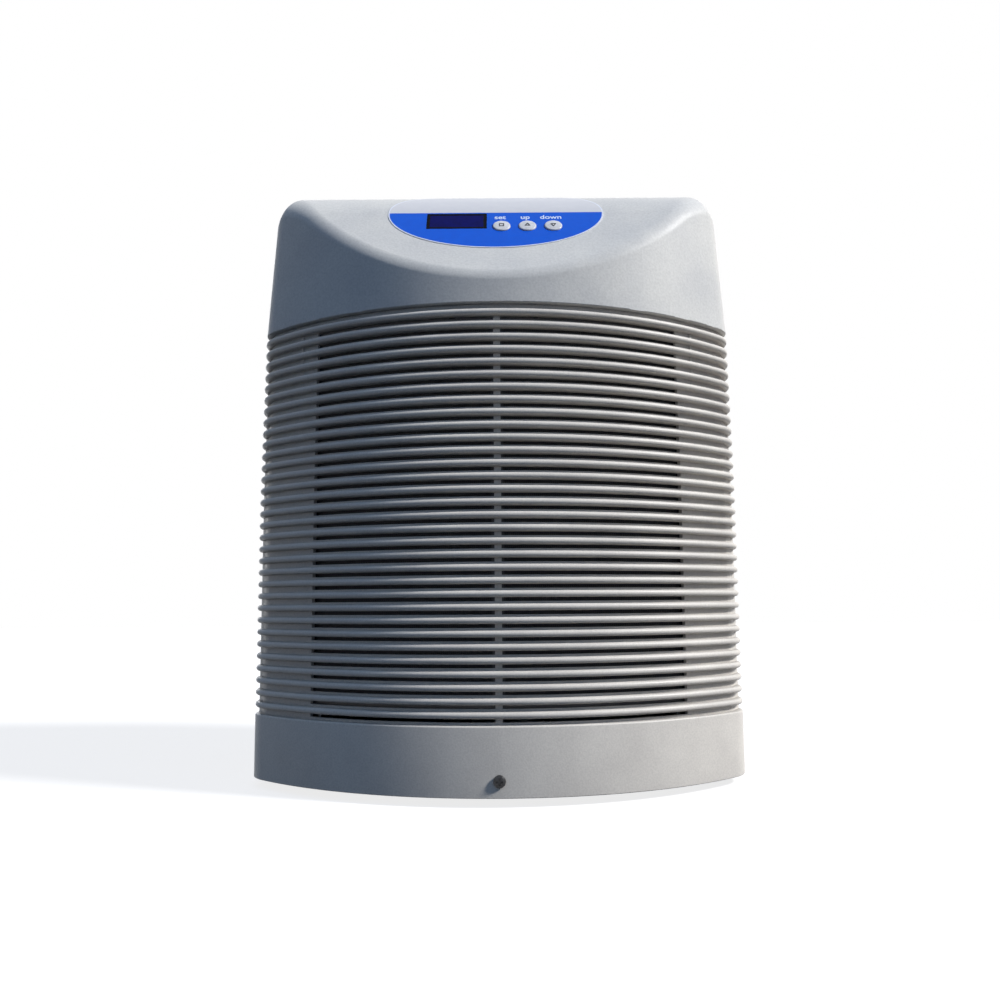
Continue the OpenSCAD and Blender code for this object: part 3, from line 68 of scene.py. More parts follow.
def openEdit(obj, kind="FACE", action="DESELECT"):
    only(obj)
    bpy.ops.object.mode_set(mode="EDIT")
    bpy.ops.mesh.select_mode(type=kind)
    bpy.ops.mesh.select_all(action=action)


def closeEdit():
    bpy.ops.object.mode_set(mode="OBJECT")


def pickFaces(obj, test):
    mesh = bmesh.from_edit_mesh(obj.data)
    for face in mesh.faces:
        face.select_set(bool(test(face.calc_center_median(), face.normal)))
    bmesh.update_edit_mesh(obj.data)


def pickEdges(obj, test):
    mesh = bmesh.from_edit_mesh(obj.data)
    for edge in mesh.edges:
        edge.select_set(bool(test(edge)))
    bmesh.update_edit_mesh(obj.data)


def pickVerts(obj, test):
    mesh = bmesh.from_edit_mesh(obj.data)
    for vert in mesh.verts:
        vert.select_set(bool(test(vert.co)))
    mesh.select_flush(True)
    bmesh.update_edit_mesh(obj.data)


def pull(step):
    bpy.ops.mesh.extrude_region_move(TRANSFORM_OT_translate={"value": tuple(step)})


# adds a primitive with one of Blender's operators, alone in the selection
def start(add, **settings):
    bpy.ops.object.select_all(action="DESELECT")
    add(**settings)
    return bpy.context.object


# writes the object's place, turn and scale into its mesh
def settle(obj):
    only(obj)
    bpy.ops.object.transform_apply(location=True, rotation=True, scale=True)


# one vertex pulled from point to point
def drawProfile(name, points):
    obj = start(bpy.ops.mesh.primitive_plane_add, size=seedSize, location=points[0])
    obj.name = name
    settle(obj)
    openEdit(obj, "VERT", "SELECT")
    bpy.ops.mesh.merge(type="CENTER")
    for here, there in zip(points, points[1:]):
        pull(Vector(there) - Vector(here))
    closeEdit()
    return obj


def applyAll(obj):
    only(obj)
    for modifier in list(obj.modifiers):
        bpy.ops.object.modifier_apply(modifier=modifier.name)


def cutWith(obj, cutters, operation="DIFFERENCE"):
    for cutter in cutters:
        modifier = obj.modifiers.new("cut", "BOOLEAN")
        modifier.operation = operation
        modifier.solver = "EXACT"
        modifier.object = cutter
        applyAll(obj)
        bpy.data.objects.remove(cutter, do_unlink=True)


def joinInto(obj, others):
    bpy.ops.object.select_all(action="DESELECT")
    for other in others:
        other.select_set(True)
    obj.select_set(True)
    bpy.context.view_layer.objects.active = obj
    bpy.ops.object.join()
    return obj


def weld(obj, distance=near["merge"]):
    openEdit(obj, "VERT", "SELECT")
    bpy.ops.mesh.remove_doubles(threshold=distance)
    bpy.ops.mesh.normals_make_consistent(inside=False)
    closeEdit()


def smooth(obj, degrees):
    only(obj)
    bpy.ops.object.shade_smooth_by_angle(angle=math.radians(degrees))


def place(obj, name, body, nodes=(), material=None):
    obj.name = name
    obj.data.name = name
    settle(obj)
    if material:
        obj.data.materials.clear()
        obj.data.materials.append(material)
    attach(obj, body)
    if nodes:
        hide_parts(*nodes)
    return obj


screen = {"steps": 255, "toe": 0.04045, "slope": 12.92, "offset": 0.055, "power": 2.4}


# a colour given in screen values from 0 to 255, by the sRGB curve
def tone(*values):
    def linear(value):
        share = value / screen["steps"]
        if share <= screen["toe"]:
            return share / screen["slope"]
        return ((share + screen["offset"]) / (1 + screen["offset"])) ** screen["power"]
    return (*map(linear, values), 1.0)


# one node with its settings and unlinked sockets
def addNode(tree, kind, sockets=None, **settings):
    made = tree.nodes.new("ShaderNode" + kind)
    for key, value in settings.items():
        setattr(made, key, value)
    for key, value in (sockets or {}).items():
        made.inputs[key].default_value = value
    return made


def ramp(tree, source, stops):
    made = addNode(tree, "ValToRGB")
    tree.links.new(source, made.inputs["Fac"])
    band = made.color_ramp.elements
    while len(band) < len(stops):
        band.new(0.5)
    for element, (spot, colour) in zip(band, stops):
        element.position = spot
        element.color = colour
    return made.outputs["Color"]


# stops for a ramp, from two places and two colours in screen values
def bands(ends, colours):
    return [(end, tone(*colour)) for end, colour in zip(ends, colours)]


def remap(tree, source, low, high, fromLow=0.3, fromHigh=0.7):
    made = addNode(tree, "MapRange", {1: fromLow, 2: fromHigh, 3: low, 4: high})
    tree.links.new(source, made.inputs[0])
    return made.outputs[0]


def stretched(tree, vector, scale, turn=(0, 0, 0)):
    made = addNode(tree, "Mapping", {"Scale": scale, "Rotation": turn})
    tree.links.new(vector, made.inputs["Vector"])
    return made.outputs["Vector"]


def noise(tree, vector, scale, detail=3.0, rough=0.5):
    made = addNode(tree, "TexNoise", {"Scale": scale, "Detail": detail, "Roughness": rough})
    tree.links.new(vector, made.inputs["Vector"])
    return made.outputs["Fac"]


def cells(tree, vector, scale, feature="F1"):
    made = addNode(tree, "TexVoronoi", {"Scale": scale}, feature=feature)
    tree.links.new(vector, made.inputs["Vector"])
    return made


def mixColour(tree, share, first, second, blend="MIX"):
    made = addNode(tree, "Mix", data_type="RGBA", blend_type=blend)
    # a colour mix has its two colours in sockets 6 and 7 and its result in 2
    for socket, value in ((made.inputs[0], share), (made.inputs[6], first), (made.inputs[7], second)):
        if hasattr(value, "links"):
            tree.links.new(value, socket)
        else:
            socket.default_value = value
    return made.outputs[2]


def maths(tree, operation, first, second=0.0):
    made = addNode(tree, "Math", operation=operation)
    for socket, value in ((made.inputs[0], first), (made.inputs[1], second)):
        if hasattr(value, "links"):
            tree.links.new(value, socket)
        else:
            socket.default_value = value
    return made.outputs[0]


def bump(tree, height, distance, strength=1.0, under=None):
    made = addNode(tree, "Bump", {"Strength": strength, "Distance": distance})
    tree.links.new(height, made.inputs["Height"])
    if under:
        tree.links.new(under, made.inputs["Normal"])
    return made.outputs["Normal"]


def newFinish(name, **sockets):
    material = bpy.data.materials.new(name)
    material.use_nodes = True
    tree = material.node_tree
    tree.nodes.clear()
    shader = addNode(tree, "BsdfPrincipled",
                     {key.replace("_", " "): value for key, value in sockets.items()})
    out = addNode(tree, "OutputMaterial")
    tree.links.new(shader.outputs["BSDF"], out.inputs["Surface"])
    spot = addNode(tree, "TexCoord").outputs["Object"]
    return material, tree, shader, spot


# moulded, painted and metal finishes differ only in these values
finishes = {
    # housing_plastic's colour carries painted shade: it darkens towards a dark tone in recesses and under
    # the ribs
    "housing_plastic": {"light": (226, 221, 214), "deep": (213, 208, 202), "patch": 26, "grain": 900,
                        "grainDepth": 0.00005, "rough": (0.36, 0.50), "Specular_IOR_Level": 0.28,
                        "grime": 0.36, "grimeReach": 0.006, "dirt": (60, 57, 54)},
    "cap_plastic": {"light": (224, 223, 220), "deep": (210, 210, 210), "patch": 22, "grain": 620,
                    "grainDepth": 0.00006, "rough": (0.42, 0.52), "Specular_IOR_Level": 0.2},
    "dark_plastic": {"light": (58, 58, 61), "deep": (40, 40, 43), "patch": 35, "grain": 1100,
                     "grainDepth": 0.00006, "rough": (0.42, 0.6)},
    "black_plastic": {"light": (34, 34, 36), "deep": (22, 22, 24), "patch": 45, "grain": 1300,
                      "grainDepth": 0.00005, "rough": (0.35, 0.55)},
    "rubber": {"light": (44, 43, 42), "deep": (27, 27, 27), "patch": 80, "grain": 1500,
               "grainDepth": 0.00008, "rough": (0.7, 0.9)},
    "tank_plastic": {"light": (232, 232, 226), "deep": (214, 215, 209), "patch": 30, "grain": 700,
                     "grainDepth": 0.00004, "rough": (0.3, 0.45), "Subsurface_Weight": 0.05},
    "motor_paint": {"light": (90, 93, 98), "deep": (68, 71, 77), "patch": 60, "grain": 1600,
                    "grainDepth": 0.00004, "rough": (0.35, 0.55), "Coat_Weight": 0.2},
    "compressor_paint": {"light": (27, 27, 30), "deep": (14, 14, 16), "patch": 30, "grain": 500,
                         "grainDepth": 0.00008, "rough": (0.22, 0.4), "Coat_Weight": 0.35},
    "foam_lagging": {"light": (46, 46, 48), "deep": (22, 22, 24), "patch": 400, "grain": 1800,
                     "grainDepth": 0.00025, "rough": (0.85, 0.98)},
    "lead_sheath": {"light": (42, 42, 45), "deep": (28, 28, 31), "patch": 90, "grain": 900,
                    "grainDepth": 0.00003, "rough": (0.45, 0.6)},
    "rocker": {"light": (176, 26, 22), "deep": (148, 18, 16), "patch": 120, "grain": 1400,
               "grainDepth": 0.00003, "rough": (0.25, 0.38)},
    "button": {"light": (226, 226, 230), "deep": (206, 207, 212), "patch": 300, "grain": 1500,
               "grainDepth": 0.00002, "rough": (0.3, 0.4)},
    "screw_steel": {"light": (178, 180, 184), "deep": (128, 130, 135), "patch": 500, "grain": 2200,
                    "grainDepth": 0.00002, "rough": (0.25, 0.42), "Metallic": 1.0, "stretch": (1, 1, 6)},
    "aluminium": {"light": (214, 216, 219), "deep": (184, 187, 191), "patch": 60, "grain": 1500,
                  "grainDepth": 0.00002, "rough": (0.28, 0.45), "Metallic": 1.0, "stretch": (1, 1, 12)},
    "copper": {"light": (214, 139, 98), "deep": (142, 78, 50), "patch": 55, "grain": 1400,
               "grainDepth": 0.00002, "rough": (0.2, 0.42), "Metallic": 1.0},
    "titanium": {"light": (186, 182, 176), "deep": (148, 143, 140), "patch": 90, "grain": 1700,
                 "grainDepth": 0.00002, "rough": (0.22, 0.4), "Metallic": 1.0},
}
ownKeys = ("light", "deep", "patch", "grain", "grainDepth", "rough", "stretch",
           "grime", "grimeReach", "dirt")
# how patches, grain and the painted shade in hollows lie on every finish
spread = {
    "patchDetail": 4.0, "patchEnds": (0.32, 0.68), "grainDetail": 2.0, "grainEnds": (0.3, 0.7),
    "grainShare": 0.16, "grainTones": ((120, 120, 120), (255, 255, 255)), "paintedShadeEnds": (0.2, 0.85),
    "paintedShadeSamples": 4,
}


def makeFinish(name, look):
    sockets = {key: value for key, value in look.items() if key not in ownKeys}
    material, tree, shader, spot = newFinish(name, **sockets)
    along = stretched(tree, spot, look.get("stretch", (1, 1, 1)))
    patches = noise(tree, along, look["patch"], spread["patchDetail"])
    fine = noise(tree, along, look["grain"], spread["grainDetail"])
    colour = ramp(tree, patches, bands(spread["patchEnds"], (look["deep"], look["light"])))
    grain = ramp(tree, fine, bands(spread["grainEnds"], spread["grainTones"]))
    colour = mixColour(tree, spread["grainShare"], colour, grain, "MULTIPLY")
    # painted shade: the colour is mixed towards a dark tone where ambient occlusion finds recesses and
    # undersides
    if "grime" in look:
        hollow = addNode(tree, "AmbientOcclusion", {"Distance": look["grimeReach"]},
                         samples=spread["paintedShadeSamples"])
        paintedShadeShare = remap(tree, hollow.outputs["AO"], look["grime"], 0.0, *spread["paintedShadeEnds"])
        colour = mixColour(tree, paintedShadeShare, colour, tone(*look["dirt"]))
    tree.links.new(colour, shader.inputs["Base Color"])
    tree.links.new(remap(tree, patches, *look["rough"]), shader.inputs["Roughness"])
    tree.links.new(bump(tree, fine, look["grainDepth"]), shader.inputs["Normal"])
    return material


materials = {name: makeFinish(name, look) for name, look in finishes.items()}
print("plain finishes:", len(materials))


# a wave node draws 20 radians for each unit of its scale
net = {"pitch": 0.0013, "thread": (52, 53, 56), "hole": (9, 9, 10), "depth": 0.00025, "waveTurn": 20,
       "waver": 0.4, "ends": (0.45, 0.75), "rough": 0.75}


def makeNet():
    material, tree, shader, spot = newFinish("filter_net", Roughness=net["rough"])
    scale = 2 * math.pi / net["waveTurn"] / net["pitch"]
    sockets = {"Scale": scale, "Distortion": net["waver"], "Detail": 1.0}
    threads = []
    for way in ("X", "Z"):
        wave = addNode(tree, "TexWave", sockets, bands_direction=way)
        tree.links.new(spot, wave.inputs["Vector"])
        threads.append(wave.outputs["Fac"])
    weave = maths(tree, "MAXIMUM", *threads)
    colour = ramp(tree, weave, bands(net["ends"], (net["hole"], net["thread"])))
    tree.links.new(colour, shader.inputs["Base Color"])
    tree.links.new(bump(tree, weave, net["depth"]), shader.inputs["Normal"])
    return material


zinc = {"flake": 130, "light": (196, 199, 203), "deep": (140, 144, 150), "ends": (0.1, 0.9),
        "rough": (0.3, 0.5), "grain": 900, "depth": 0.00002}


def makeZinc():
    material, tree, shader, spot = newFinish("galvanised", Metallic=1.0)
    flakes = cells(tree, spot, zinc["flake"])
    shade = addNode(tree, "RGBToBW")
    tree.links.new(flakes.outputs["Color"], shade.inputs["Color"])
    grey = shade.outputs["Val"]
    colour = ramp(tree, grey, bands(zinc["ends"], (zinc["deep"], zinc["light"])))
    tree.links.new(colour, shader.inputs["Base Color"])
    tree.links.new(remap(tree, grey, *zinc["rough"], 0.0, 1.0), shader.inputs["Roughness"])
    tree.links.new(bump(tree, noise(tree, spot, zinc["grain"]), zinc["depth"]), shader.inputs["Normal"])
    return material


circuit = {"mask": (18, 92, 52), "trace": (46, 138, 84), "cell": 230, "line": 0.10, "depth": 0.00005,
           "rough": 0.3, "coat": 0.4}


def makeBoard():
    material, tree, shader, spot = newFinish("board", Roughness=circuit["rough"],
                                             Coat_Weight=circuit["coat"])
    edges = cells(tree, spot, circuit["cell"], "DISTANCE_TO_EDGE").outputs["Distance"]
    line = maths(tree, "LESS_THAN", edges, circuit["line"])
    tree.links.new(mixColour(tree, line, tone(*circuit["mask"]), tone(*circuit["trace"])),
                   shader.inputs["Base Color"])
    tree.links.new(bump(tree, line, circuit["depth"]), shader.inputs["Normal"])
    return material


films = {
    "labelBlue": {"light": (12, 92, 214), "deep": (8, 87, 208), "rough": (0.42, 0.46)},
    "labelGrey": {"light": (216, 216, 220), "deep": (212, 212, 217), "rough": (0.42, 0.46)},
    "labelRim": {"light": (236, 239, 248), "deep": (222, 226, 240), "rough": (0.4, 0.45)},
    "windowGlass": {"light": (3, 10, 96), "deep": (2, 7, 82), "rough": (0.2, 0.24),
                    "Specular_IOR_Level": 0.02},
    # the window's near-black border colour is painted shade of the recess round the pane
    "windowShadeBorder": {"light": (5, 6, 20), "deep": (3, 4, 14), "rough": (0.24, 0.3),
                    "Specular_IOR_Level": 0.02},
    "markInk": {"light": (58, 58, 62), "deep": (44, 44, 48), "rough": (0.4, 0.5)},
    "wordInk": {"light": (226, 238, 255), "deep": (214, 229, 252), "rough": (0.45, 0.5)},
    "darkScrew": {"light": (62, 62, 64), "deep": (34, 34, 36), "rough": (0.3, 0.42), "Metallic": 0.6},
}
filmGrain = {"patch": 180, "grain": 1800, "grainDepth": 0.00001}
for name, look in films.items():
    materials[name] = makeFinish(name, {**filmGrain, **look})
materials["filter_net"] = makeNet()
materials["galvanised"] = makeZinc()
materials["board"] = makeBoard()
materials["label"] = materials["labelBlue"]
materials["window"] = materials["windowGlass"]

for obj in cadNodes.values():
    for holder in obj.material_slots:
        holder.material = materials[holder.material.name.split(".")[0]]
for holder in cadNodes["cover_screw"].material_slots:
    holder.material = materials["darkScrew"]
print("materials:", len(materials))

# the ribbed wall: distances inward u and heights of one bay, in metres
ribs = {
    "count": 32, "pitch": 0.00865, "low": 0.051, "gap": 0.0042, "thick": 0.00445, "tip": 0.00005,
    "steps": 12, "rootU": 0.005, "innerU": 0.0072, "slotLow": 0.00155, "postDeg": 0.535, "slotDeg": 31.31,
    "topZ": 0.3316, "columns": (1, 20, 6, 2, 10), "creaseDeg": 47.0, "sideDeg": 60.0, "sideR": 0.02387,
    "sideU": 0.00184, "leanZ": 0.20, "leanSpan": 0.13, "lean": 0.0022, "leanPower": 1.3, "seam": 0.0004,
    "endY": 0.0943, "endTip": 0.0008, "sideSteps": 8, "backU": 0.0062, "skirtEdge": 0.0012,
    "skirtT": 0.0025, "shelfT": 0.0025, "footEdge": 0.0004, "edgeSteps": 6, "screwZ": 0.0168,
    "screwR": 0.0023, "screwDeep": 0.02, "keeperDeg": 34.77, "keeperW": 0.002, "keeperR": (0.2360, 0.2481),
    "keeperZ": (0.056, 0.323), "smoothDeg": 32, "slackDeg": 0.001, "slotReach": 0.0004, "slotRimDeg": 0.1,
    "creaseSlackDeg": 0.6, "creaseU": (0.004, 0.0078), "upright": 0.5,
}


# distance inward and swing angle of a point, with the outward direction there
def wallPlace(x, y):
    swing = math.degrees(math.atan2(abs(x), plan["arcY"] - y))
    side = 1 if x >= 0 else -1
    if swing <= plan["cornerDeg"] + ribs["slackDeg"]:
        away, r, turn = Vector((x, y - plan["arcY"])), plan["frontR"], swing
    elif y < plan["cornerY"]:
        away, r = Vector((x - side * plan["cornerX"], y - plan["cornerY"])), plan["cornerR"]
        turn = math.degrees(math.atan2(abs(away.x), -away.y))
    else:
        away, r, turn = Vector((x - side * plan["cornerX"], 0)), plan["cornerR"], 90
    return r - away.length, turn, away.normalized()


def rootAt(turn):
    if turn <= ribs["creaseDeg"]:
        return ribs["rootU"]
    return plan["cornerR"] - ribs["sideR"] / math.cos(math.radians(min(turn, 90) - ribs["sideDeg"]))


def draftAt(z):
    return (z - plan["baseZ"]) * math.tan(math.radians(plan["draftDeg"]))


def leanAt(z):
    return ribs["lean"] * max(0.0, (z - ribs["leanZ"]) / ribs["leanSpan"]) ** ribs["leanPower"]


# shallower ribs round the corner, and the wall's lean inwards
def bendWall(obj):
    for vert in obj.data.vertices:
        u, turn, out = wallPlace(vert.co.x, vert.co.y)
        if u < ribs["rootU"] + near["pick"]:
            wanted = min(u, rootAt(turn)) + leanAt(vert.co.z)
        else:
            wanted = u + draftAt(vert.co.z)
        vert.co.x += out.x * (u - wanted)
        vert.co.y += out.y * (u - wanted)


def nosePoints(rootU):
    r = ribs["thick"] / 2
    points = []
    for i in range(ribs["steps"] + 1):
        a = math.radians(180 * i / ribs["steps"] - 90)
        points.append((ribs["tip"] + r - r * math.cos(a), ribs["gap"] + r + r * math.sin(a)))
    return [(rootU, 0), (rootU, ribs["slotLow"]), (rootU, ribs["gap"])] + points + [(rootU, ribs["pitch"])]


# a section at x = 0 swept round the front and the right corner
def sweepWall(name, chains):
    frontY = plan["arcY"] - plan["frontR"]
    parts = []
    for points in chains:
        parts.append(drawProfile(name, [(0, frontY + u, ribs["low"] + z) for u, z in points]))
    wall = joinInto(parts[0], parts[1:]) if len(parts) > 1 else parts[0]
    stops = (0, ribs["postDeg"], ribs["slotDeg"], plan["cornerDeg"], ribs["creaseDeg"], 90)
    middles = [(0, plan["arcY"], 0)] * 3 + [(plan["cornerX"], plan["cornerY"], 0)] * 2
    openEdit(wall, "EDGE", "SELECT")
    for steps, first, last, middle in zip(ribs["columns"], stops, stops[1:], middles):
        bpy.ops.mesh.spin(steps=steps, angle=math.radians(first - last), center=middle, axis=(0, 0, 1))
    closeEdit()
    weld(wall, near["wallMerge"])
    return wall


def stackBays(obj):
    array = obj.modifiers.new("bays", "ARRAY")
    array.count = ribs["count"]
    array.use_relative_offset = False
    array.use_constant_offset = True
    array.constant_offset_displace = (0, 0, ribs["pitch"])
    array.use_merge_vertices = True
    array.merge_threshold = near["bayMerge"]


def mirrored(obj, stacked=False):
    mirror = obj.modifiers.new("mirror", "MIRROR")
    mirror.merge_threshold = near["bayMerge"]
    if stacked:
        stackBays(obj)
    applyAll(obj)


def openRim(edge):
    return len(edge.link_faces) == 1


def atHeight(edge, z):
    return all(abs(vert.co.z - z) < near["pick"] for vert in edge.verts)


def fillEnds(obj, test):
    openEdit(obj, "EDGE")
    pickEdges(obj, lambda edge: openRim(edge) and all(test(vert.co) for vert in edge.verts))
    bpy.ops.mesh.edge_face_add()
    closeEdit()


def makeBays():
    low, rootU, innerU = ribs["low"], ribs["rootU"], ribs["innerU"]
    inner = [(innerU, 0), (innerU, ribs["slotLow"]), (innerU, ribs["gap"]), (innerU, ribs["pitch"])]
    bays = sweepWall("bays", [nosePoints(rootU), inner])

    def inSlot(centre, normal):
        u, turn, out = wallPlace(centre.x, centre.y)
        return (u > rootU - ribs["slotReach"] and ribs["slotLow"] < centre.z - low < ribs["gap"]
                and abs(normal.z) < ribs["upright"] and ribs["postDeg"] < turn < ribs["slotDeg"])

    def slotRim(edge):
        middle = (edge.verts[0].co + edge.verts[1].co) / 2
        u, turn, out = wallPlace(middle.x, middle.y)
        return (openRim(edge) and 0 < middle.z - low < ribs["gap"] + near["pick"]
                and ribs["postDeg"] - ribs["slotRimDeg"] < turn < ribs["slotDeg"] + ribs["slotRimDeg"])
    openEdit(bays)
    pickFaces(bays, inSlot)
    bpy.ops.mesh.delete(type="FACE")
    closeEdit()
    openEdit(bays, "EDGE")
    pickEdges(bays, slotRim)
    bpy.ops.mesh.bridge_edge_loops()
    closeEdit()
    mirrored(bays, True)
    top = low + ribs["count"] * ribs["pitch"]
    openEdit(bays, "EDGE")
    pickEdges(bays, lambda edge: openRim(edge) and atHeight(edge, top))
    pull((0, 0, ribs["topZ"] - top))
    bpy.ops.mesh.bridge_edge_loops()
    closeEdit()
    return bays


def makeSkirt():
    innerU, foot, edge = ribs["innerU"], plan["baseZ"] - ribs["low"], ribs["skirtEdge"]
    section = [(ribs["rootU"], 0)]
    for i in range(ribs["edgeSteps"] + 1):
        a = math.radians(90 * i / ribs["edgeSteps"])
        section.append((edge - edge * math.sin(a), -edge + edge * math.cos(a)))
    section += [(0, foot + ribs["footEdge"]), (ribs["footEdge"], foot), (ribs["skirtT"], foot),
                (ribs["skirtT"], -ribs["shelfT"]), (innerU, -ribs["shelfT"]), (innerU, 0)]
    skirt = sweepWall("skirt", [section])
    mirrored(skirt)
    hole = start(bpy.ops.mesh.primitive_cylinder_add, vertices=roundSides, radius=ribs["screwR"],
                 depth=ribs["screwDeep"], rotation=(math.radians(90), 0, 0),
                 location=(0, plan["frontY"], ribs["screwZ"]))
    cutWith(skirt, [hole])
    return skirt


# upright strips behind the wall that hold the filter's frame
def makeKeepers():
    inner, outer = ribs["keeperR"]
    low, high = ribs["keeperZ"]
    keepers = []
    for side in (-1, 1):
        keeper = start(bpy.ops.mesh.primitive_cube_add, size=1)
        keeper.matrix_world = (Matrix.Translation((0, plan["arcY"], 0))
                               @ Matrix.Rotation(math.radians(side * ribs["keeperDeg"]), 4, "Z")
                               @ Matrix.Translation((0, -(inner + outer) / 2, (low + high) / 2))
                               @ Matrix.Diagonal((ribs["keeperW"], outer - inner, high - low, 1)))
        keepers.append(keeper)
    return keepers


def makeCover():
    cover = joinInto(makeBays(), [makeSkirt()])
    weld(cover, near["coverMerge"])
    fillEnds(cover, lambda co: abs(co.y - plan["cornerY"]) < near["pick"])
    weld(cover, near["fineMerge"])
    bendWall(cover)
    joinInto(cover, makeKeepers())
    smooth(cover, ribs["smoothDeg"])
    lowU, highU = ribs["creaseU"]

    def crease(edge):
        spots = [wallPlace(vert.co.x, vert.co.y) for vert in edge.verts]
        return all(abs(turn - ribs["creaseDeg"]) < ribs["creaseSlackDeg"] and lowU < u < highU
                   for u, turn, out in spots)
    openEdit(cover, "EDGE")
    pickEdges(cover, crease)
    bpy.ops.mesh.mark_sharp()
    closeEdit()
    print("cover faces", len(cover.data.polygons))
    return place(cover, "frontCover", "cover", ["front_cover"],
                 materials["housing_plastic"])


makeCover()
print("front cover made")


# the right side wall's ribs, pushed along the side, and their mirror image on the left
def makeSideRibs():
    low, sideU, backU, endY = ribs["low"], ribs["sideU"], ribs["backU"], ribs["endY"]
    high, startY, halfW = low + ribs["count"] * ribs["pitch"], plan["cornerY"] + ribs["seam"], plan["halfW"]
    section = [(halfW - u, startY, low + z) for u, z in nosePoints(sideU) if z != ribs["slotLow"]]
    chain = drawProfile("side", section)
    stackBays(chain)
    applyAll(chain)
    openEdit(chain, "VERT")
    pickVerts(chain, lambda co: abs(co.z - high) < near["pick"])
    pull((0, 0, ribs["topZ"] - high))
    pull((sideU - backU, 0, 0))
    pickVerts(chain, lambda co: abs(co.z - low) < near["pick"])
    pull((sideU - backU, 0, 0))
    pickVerts(chain, lambda co: abs(co.x - halfW + backU) < near["pick"])
    bpy.ops.mesh.edge_face_add()
    closeEdit()
    openEdit(chain, "EDGE", "SELECT")
    for i in range(ribs["sideSteps"]):
        pull((0, (endY - startY) / ribs["sideSteps"], 0))
    closeEdit()
    fillEnds(chain, lambda co: abs(co.y - startY) < near["pick"])
    fillEnds(chain, lambda co: abs(co.y - endY) < near["pick"])
    for vert in chain.data.vertices:
        u = halfW - vert.co.x
        if u < backU - near["pick"]:
            share = (vert.co.y - startY) / (endY - startY)
            rear = ribs["endTip"] + draftAt(vert.co.z) - ribs["tip"]
            u = min(u, sideU) + leanAt(vert.co.z) * (1 - share) + rear * share
            vert.co.x = halfW - u
    weld(chain, near["fineMerge"])
    mirrored(chain)
    smooth(chain, ribs["smoothDeg"])
    return chain


# the CAD's housing, welded, with the side ribs over its side walls
def makeHousing():
    bpy.ops.object.select_all(action="DESELECT")
    source = cadNodes["rear_housing"]
    housing = source.copy()
    housing.data = source.data.copy()
    bpy.context.scene.collection.objects.link(housing)
    weld(housing, near["fineMerge"])
    smooth(housing, ribs["smoothDeg"])
    joinInto(housing, [makeSideRibs()])
    print("housing faces", len(housing.data.polygons))
    return place(housing, "rearHousing", "housing", ["rear_housing"],
                 materials["housing_plastic"])


makeHousing()
print("rear housing made")


# outline of the cabinet seen from above, moved inward by u, as points in order
def outline(u, steps=24):
    points = []

    def bend(x, y, r, first, last, count):
        for i in range(count + 1):
            a = math.radians(first + (last - first) * i / count)
            points.append((x + r * math.cos(a), y + r * math.sin(a)))
    a = plan["cornerDeg"]
    r = plan["backCornerR"]
    bend(0, plan["arcY"], plan["frontR"] - u, 270 - a, 270 + a, steps * 3)
    bend(plan["cornerX"], plan["cornerY"], plan["cornerR"] - u, 270 + a, 360, steps // 2)
    bend(plan["halfW"] - r, plan["backY"] - r, r - u, 0, 90, steps // 2)
    bend(r - plan["halfW"], plan["backY"] - r, r - u, 90, 180, steps // 2)
    bend(-plan["cornerX"], plan["cornerY"], plan["cornerR"] - u, 180, 270 - a, steps // 2)
    return points


# a standing wall along the outline, from low to high
def ringWall(name, u, thick, low, high):
    points = outline(u)
    ring = drawProfile(name, [(x, y, low) for x, y in points])
    openEdit(ring, "VERT", "SELECT")
    bpy.ops.mesh.remove_doubles(threshold=near["ringMerge"])
    closeEdit()
    openEdit(ring, "EDGE", "SELECT")
    pull((0, 0, high - low))
    closeEdit()
    # the first and last points of the outline are joined last
    firstSpot, lastSpot = Vector((*points[0], 0)), Vector((*points[-1], 0))
    openEdit(ring, "VERT")

    def atEnd(co):
        flat = Vector((co.x, co.y, 0))
        return min((flat - firstSpot).length, (flat - lastSpot).length) < near["finePick"]
    pickVerts(ring, atEnd)
    if (firstSpot - lastSpot).length > near["ringMerge"]:
        bpy.ops.mesh.edge_face_add()
    closeEdit()
    weld(ring, near["ringMerge"])
    wall = ring.modifiers.new("wall", "SOLIDIFY")
    wall.thickness = thick
    wall.offset = -1
    wall.use_even_offset = True
    applyAll(ring)
    return ring


cap = {
    "u": 0.002607, "thick": 0.0026, "leanDeg": 4.2, "leastR": 0.0003, "edgeR": 0.032, "edgePower": 1.55,
    "backR": 0.022, "backSpan": 0.09, "lowest": 0.020, "lowBevel": 0.0006, "bevelSteps": 3, "smoothDeg": 35,
    "middleY": -0.01, "block": (0.35, 0.27, 0.16), "cuts": 46, "refineDeg": 4.0, "rounds": 3,
    "smallest": 0.0000012, "probe": 0.0002, "onSkin": 0.000025, "facing": 0.8, "rayLength": 0.4,
    "halvings": 34, "reach": 0.03, "underside": -0.5,
    "lipU": 0.00906, "lipT": 0.002, "lipH": 0.008, "flangeT": 0.0025, "shelfGap": 0.0001,
    "pillarSpots": ((-0.054, -0.002), (-0.054, -0.030), (0.054, -0.002), (0.054, -0.030)),
    "pillarR": 0.0034, "pillarDeep": 0.012, "lugR": 0.005, "lugX": 0.118, "lugZ": 0.328, "lugD": 0.010,
    "rimReach": 0.0001,
}


